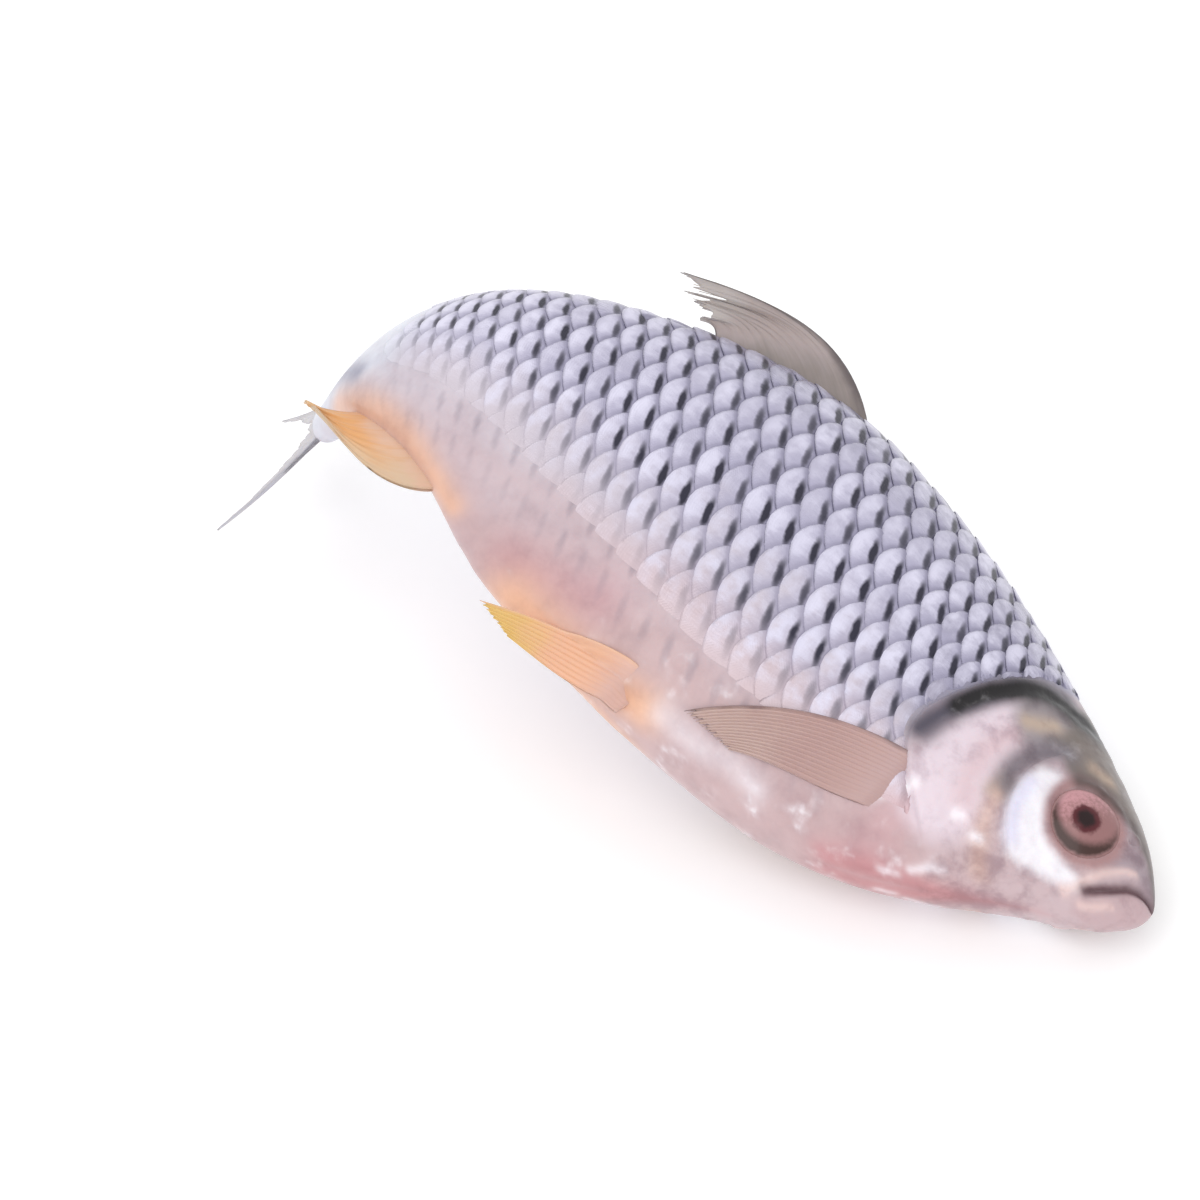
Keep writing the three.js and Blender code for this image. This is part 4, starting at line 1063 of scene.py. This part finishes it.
def tail_ray(u, v):
    fin, at = TAIL_FIN, across(TAIL_FIN, u)
    side = 2 * u - 1
    root = lerp(belly_at(1) + fin["inset"], back_at(1) - fin["inset"], u)
    lobe = np.where(side < 0, *fin["lobes"])
    fray = fin["fray"] * np.sin(u * fin["frays"])
    length = lerp(fin["notch"], lobe, np.abs(side) ** fin["fork_power"]) + fray
    h = lerp(root, at("tip_h"), v ** fin["flare"])
    return (fin["root_s"] + length * v, h,
            fin["wave"] * np.sin(u * fin["waves"]) * v * (1 - v))


def lying_ray(fin, side):
    def ray(u, v):
        at = across(fin, u)
        s = at("root_s") + at("length") * v
        fan = at("fan") * np.sin(math.pi * v ** BOW_POWER)
        h = at("root_h") - at("fall") * v ** fin["fall_power"] + fan
        skin = skin_at(s, np.maximum(h, belly_at(s) + FIN_BELLY_GAP))
        sunk = fin["sunk"] * (1 - smooth(v, 0, FIN_SURFACES_BY))
        return s, h, side * (np.maximum(skin, FIN_BELLY_GAP) - sunk + fin["lift"] * v)
    return ray


def fin_half(v):
    """Half the thickness of the fin skin, millimetres."""
    return lerp(0.75, 0.16, smooth(v, 0, 0.45))


def ragged(u, v, rays, notch):
    """Shortens the skin between two rays, so the free edge is torn back there."""
    between = np.abs(np.sin(u * math.pi * rays))
    return v * (1 - notch * between * (0.6 + 0.4 * np.sin(u * 37.0)) * v ** 3)


def make_fin_skin(name, ray, rays, notch, material, rows=30):
    columns = rays * 6
    u, v = np.meshgrid(np.linspace(0, 1, columns + 1), np.linspace(0, 1, rows + 1), indexing="ij")
    s, h, w = ray(u, ragged(u, v, rays, notch))
    ridge = np.cos(u * math.pi * rays) ** 6
    crease = 0.0008 * np.sin(u * rays * math.pi * 2) * smooth(v, 0.1, 0.5)
    half = (fin_half(v) + 0.05 * ridge * (1 - v * 0.6)) / LENGTH
    sheets = [bend(s, h, w + crease + turn * half).reshape(-1, 3) for turn in (1, -1)]
    points = np.vstack(sheets)
    count = (columns + 1) * (rows + 1)
    front = grid_faces(columns + 1, rows + 1)
    faces = front + [[i + count for i in reversed(face)] for face in front]
    place = np.arange(count).reshape(columns + 1, rows + 1)
    rim = [*place[:-1, 0], *place[-1, :-1], *place[:0:-1, -1], *place[0, :0:-1]]
    faces += [[b, a, a + count, b + count] for a, b in zip(rim, rim[1:] + rim[:1])]
    marks = np.tile(np.stack([u, v, ridge], -1).reshape(-1, 3), (2, 1))
    return face_out(make_piece(name, points, faces, material, {"fin": marks}))


def make_ray_tree():
    """Turns every line into a thin round bony ray."""
    growth = Growth("fin_rays", Thickness="Float", Sides="Int", Finish="Material")
    seeds, thickness, sides, finish = growth.given
    lines = growth.node("GeometryNodeMeshToCurve", None, {0: seeds})
    radius = growth.part("taper", 0) * thickness
    sized = growth.node("GeometryNodeSetCurveRadius", None, {"Curve": lines, "Radius": radius})
    ring = growth.node("GeometryNodeCurvePrimitiveCircle", {"mode": "RADIUS"},
                       {"Resolution": sides, "Radius": 1.0})
    tubes = growth.node("GeometryNodeCurveToMesh", None, {
        "Curve": sized, "Profile Curve": ring, "Fill Caps": True, "Scale": radius})
    return growth.finish(tubes, finish)


def make_fin_rays(name, ray, rays, tree, material, thickness, steps=26):
    """Bony rays along the fin, each forked once towards the edge."""
    points, edges, marks, tapers = [], [], [], []
    for k in range(rays + 1):
        for fork in (-1, 1):
            v = np.linspace(0.02, 0.985, steps)
            open_by = fork * FORK_OPENING / rays * smooth(v, 0.45, 0.9)
            u = np.clip(k / rays + open_by, 0.0, 1.0)
            s, h, w = ray(u, v)
            start = len(points)
            points += bend(s, h, w).tolist()
            edges += [(start + i, start + i + 1) for i in range(steps - 1)]
            marks += [(a, b, 1.0) for a, b in zip(u, v)]
            size = lerp(1.0, 0.32, v) * (1.5 if k == 0 else 1.0)
            tapers += [(t, 0, 0) for t in size]
    lines = make_piece(name + "_lines", points, [], None, {"fin": marks, "taper": tapers}, edges)
    return face_out(grown(name, lines, tree, Thickness=thickness, Sides=6, Finish=material))


# root, middle, tip, ray and first edge's colours, and the edge's share of the width
FIN_LOOKS = {
    "dorsal": [(140, 130, 126), (170, 157, 156), (190, 182, 180), (144, 132, 130),
        (84, 74, 76), 0.14],
    "anal": [(222, 184, 160), (228, 168, 106), (226, 180, 128), (204, 142, 84),
        (214, 190, 162), 0.5],
    "tail": [(178, 176, 188), (202, 198, 204), (210, 206, 210), (166, 162, 172),
        (190, 188, 196), 0.1],
    "pectoral": [(190, 158, 156), (190, 155, 150), (206, 176, 168), (180, 146, 142),
        (120, 96, 98), 0.07],
    "pelvic": [(220, 180, 168), (236, 182, 150), (236, 196, 116), (230, 174, 130),
        (236, 188, 160), 0.1],
}
# every fin: its kind, its shape, how many rays, how torn its edge and how thick its rays
FINS = {
    "dorsal_fin": ("dorsal", folded_ray(DORSAL_FIN, back_at), 11, 0.16, 0.00026),
    "anal_fin": ("anal", folded_ray(ANAL_FIN, belly_at), 8, 0.06, 0.0002),
    "tail_fin": ("tail", tail_ray, 20, 0.06, 0.00034),
    "pectoral_fin_right": ("pectoral", lying_ray(PECTORAL_FIN, 1), 15, 0.03, 0.0001),
    "pectoral_fin_left": ("pectoral", lying_ray(PECTORAL_FIN, -1), 15, 0.03, 0.0001),
    "pelvic_fin_right": ("pelvic", lying_ray(PELVIC_FIN, 1), 8, 0.03, 0.00012),
    "pelvic_fin_left": ("pelvic", lying_ray(TUCKED_PELVIC_FIN, -1), 8, 0.03, 0.00012),
}


def make_fins():
    tree = make_ray_tree()
    finishes, fins = {}, []
    for kind, (*colours, edge_share) in FIN_LOOKS.items():
        root, middle, tip, bone, edge = (srgb(*colour) for colour in colours)
        rim = (edge, edge_share)
        finishes[kind] = (make_fin_look(kind + "_skin", root, middle, tip, bone, rim),
                          make_fin_look(kind + "_bone", root, bone, tip, bone, rim, 1.0, 1.0))
    for name, (kind, ray, rays, notch, thickness) in FINS.items():
        skin, bone = finishes[kind]
        fins.append(make_fin_skin(name, ray, rays, notch, skin))
        fins.append(make_fin_rays(name + "_rays", ray, rays, tree, bone, thickness))
    return fins


# ---- surroundings ----
CAMERA_AZIMUTH, CAMERA_RISE, CAMERA_ROLL = 37.007, 45.812, -2.235
CAMERA_AWAY, CAMERA_LENS = 1.18787, 172.72
CAMERA_AIM = Vector((-0.010349, -0.021804, 0.032432))


def make_camera():
    turn, rise, roll = (math.radians(a) for a in (CAMERA_AZIMUTH, CAMERA_RISE, CAMERA_ROLL))
    back = Vector((math.sin(turn) * math.cos(rise), -math.cos(turn) * math.cos(rise),
                   math.sin(rise)))
    right = Vector((math.cos(turn), math.sin(turn), 0))
    up = back.cross(right)
    right, up = (right * math.cos(roll) + up * math.sin(roll),
                 up * math.cos(roll) - right * math.sin(roll))
    lens = bpy.data.cameras.new("view")
    lens.sensor_width, lens.lens = 36.0, CAMERA_LENS
    lens.clip_start, lens.clip_end = 0.01, 20.0
    turned = Matrix((right, up, back)).transposed().to_4x4()
    place = Matrix.Translation(CAMERA_AIM + back * CAMERA_AWAY)
    bpy.context.scene.camera = put("view", lens, place @ turned)


def make_light(name, place, aim, size, power):
    lamp = bpy.data.lights.new(name, "AREA")
    lamp.shape, lamp.size, lamp.energy = "SQUARE", size, power
    turned = (Vector(place) - Vector(aim)).to_track_quat("Z", "Y").to_matrix().to_4x4()
    put(name, lamp, Matrix.Translation(place) @ turned)


def make_studio():
    look = Look("pale_table")
    soft = look.noise(6.0, 2.0)
    tone = look.mix(srgb(253, 253, 253), (srgb(250, 250, 251), soft))
    finish = look.finish(Base_Color=tone, Roughness=0.75 + soft * 0.1, Specular_IOR_Level=0.1,
                         Emission_Color=(1, 1, 1, 1), Emission_Strength=0.14)
    side = 3.0
    corners = [(-side, -side, 0), (side, -side, 0), (side, side, 0), (-side, side, 0)]
    make_piece("table_top", corners, [[0, 1, 2, 3]], finish)
    aim = (0.0, 0.0, 0.03)
    make_light("soft_key", (0.35, -0.9, 1.3), aim, 1.3, 7.5)
    make_light("soft_back", (-0.9, 0.7, 1.3), aim, 1.2, 4.0)
    world = bpy.data.worlds.new("studio")
    world.use_nodes = True
    backdrop = world.node_tree.nodes["Background"]
    backdrop.inputs["Color"].default_value = (1, 1, 1, 1)
    backdrop.inputs["Strength"].default_value = 0.83
    bpy.context.scene.world = world
    bpy.context.scene.view_settings.view_transform = "Standard"


# ---- making ----
make_camera()
make_studio()
eye_finish = make_eye_look()
pieces = [make_body(make_skin_look()), make_scales(make_scale_look()),
    make_eye("eye_right", 1, eye_finish), make_eye("eye_left", -1, eye_finish)]
for piece in pieces + make_fins():
    wear(piece)
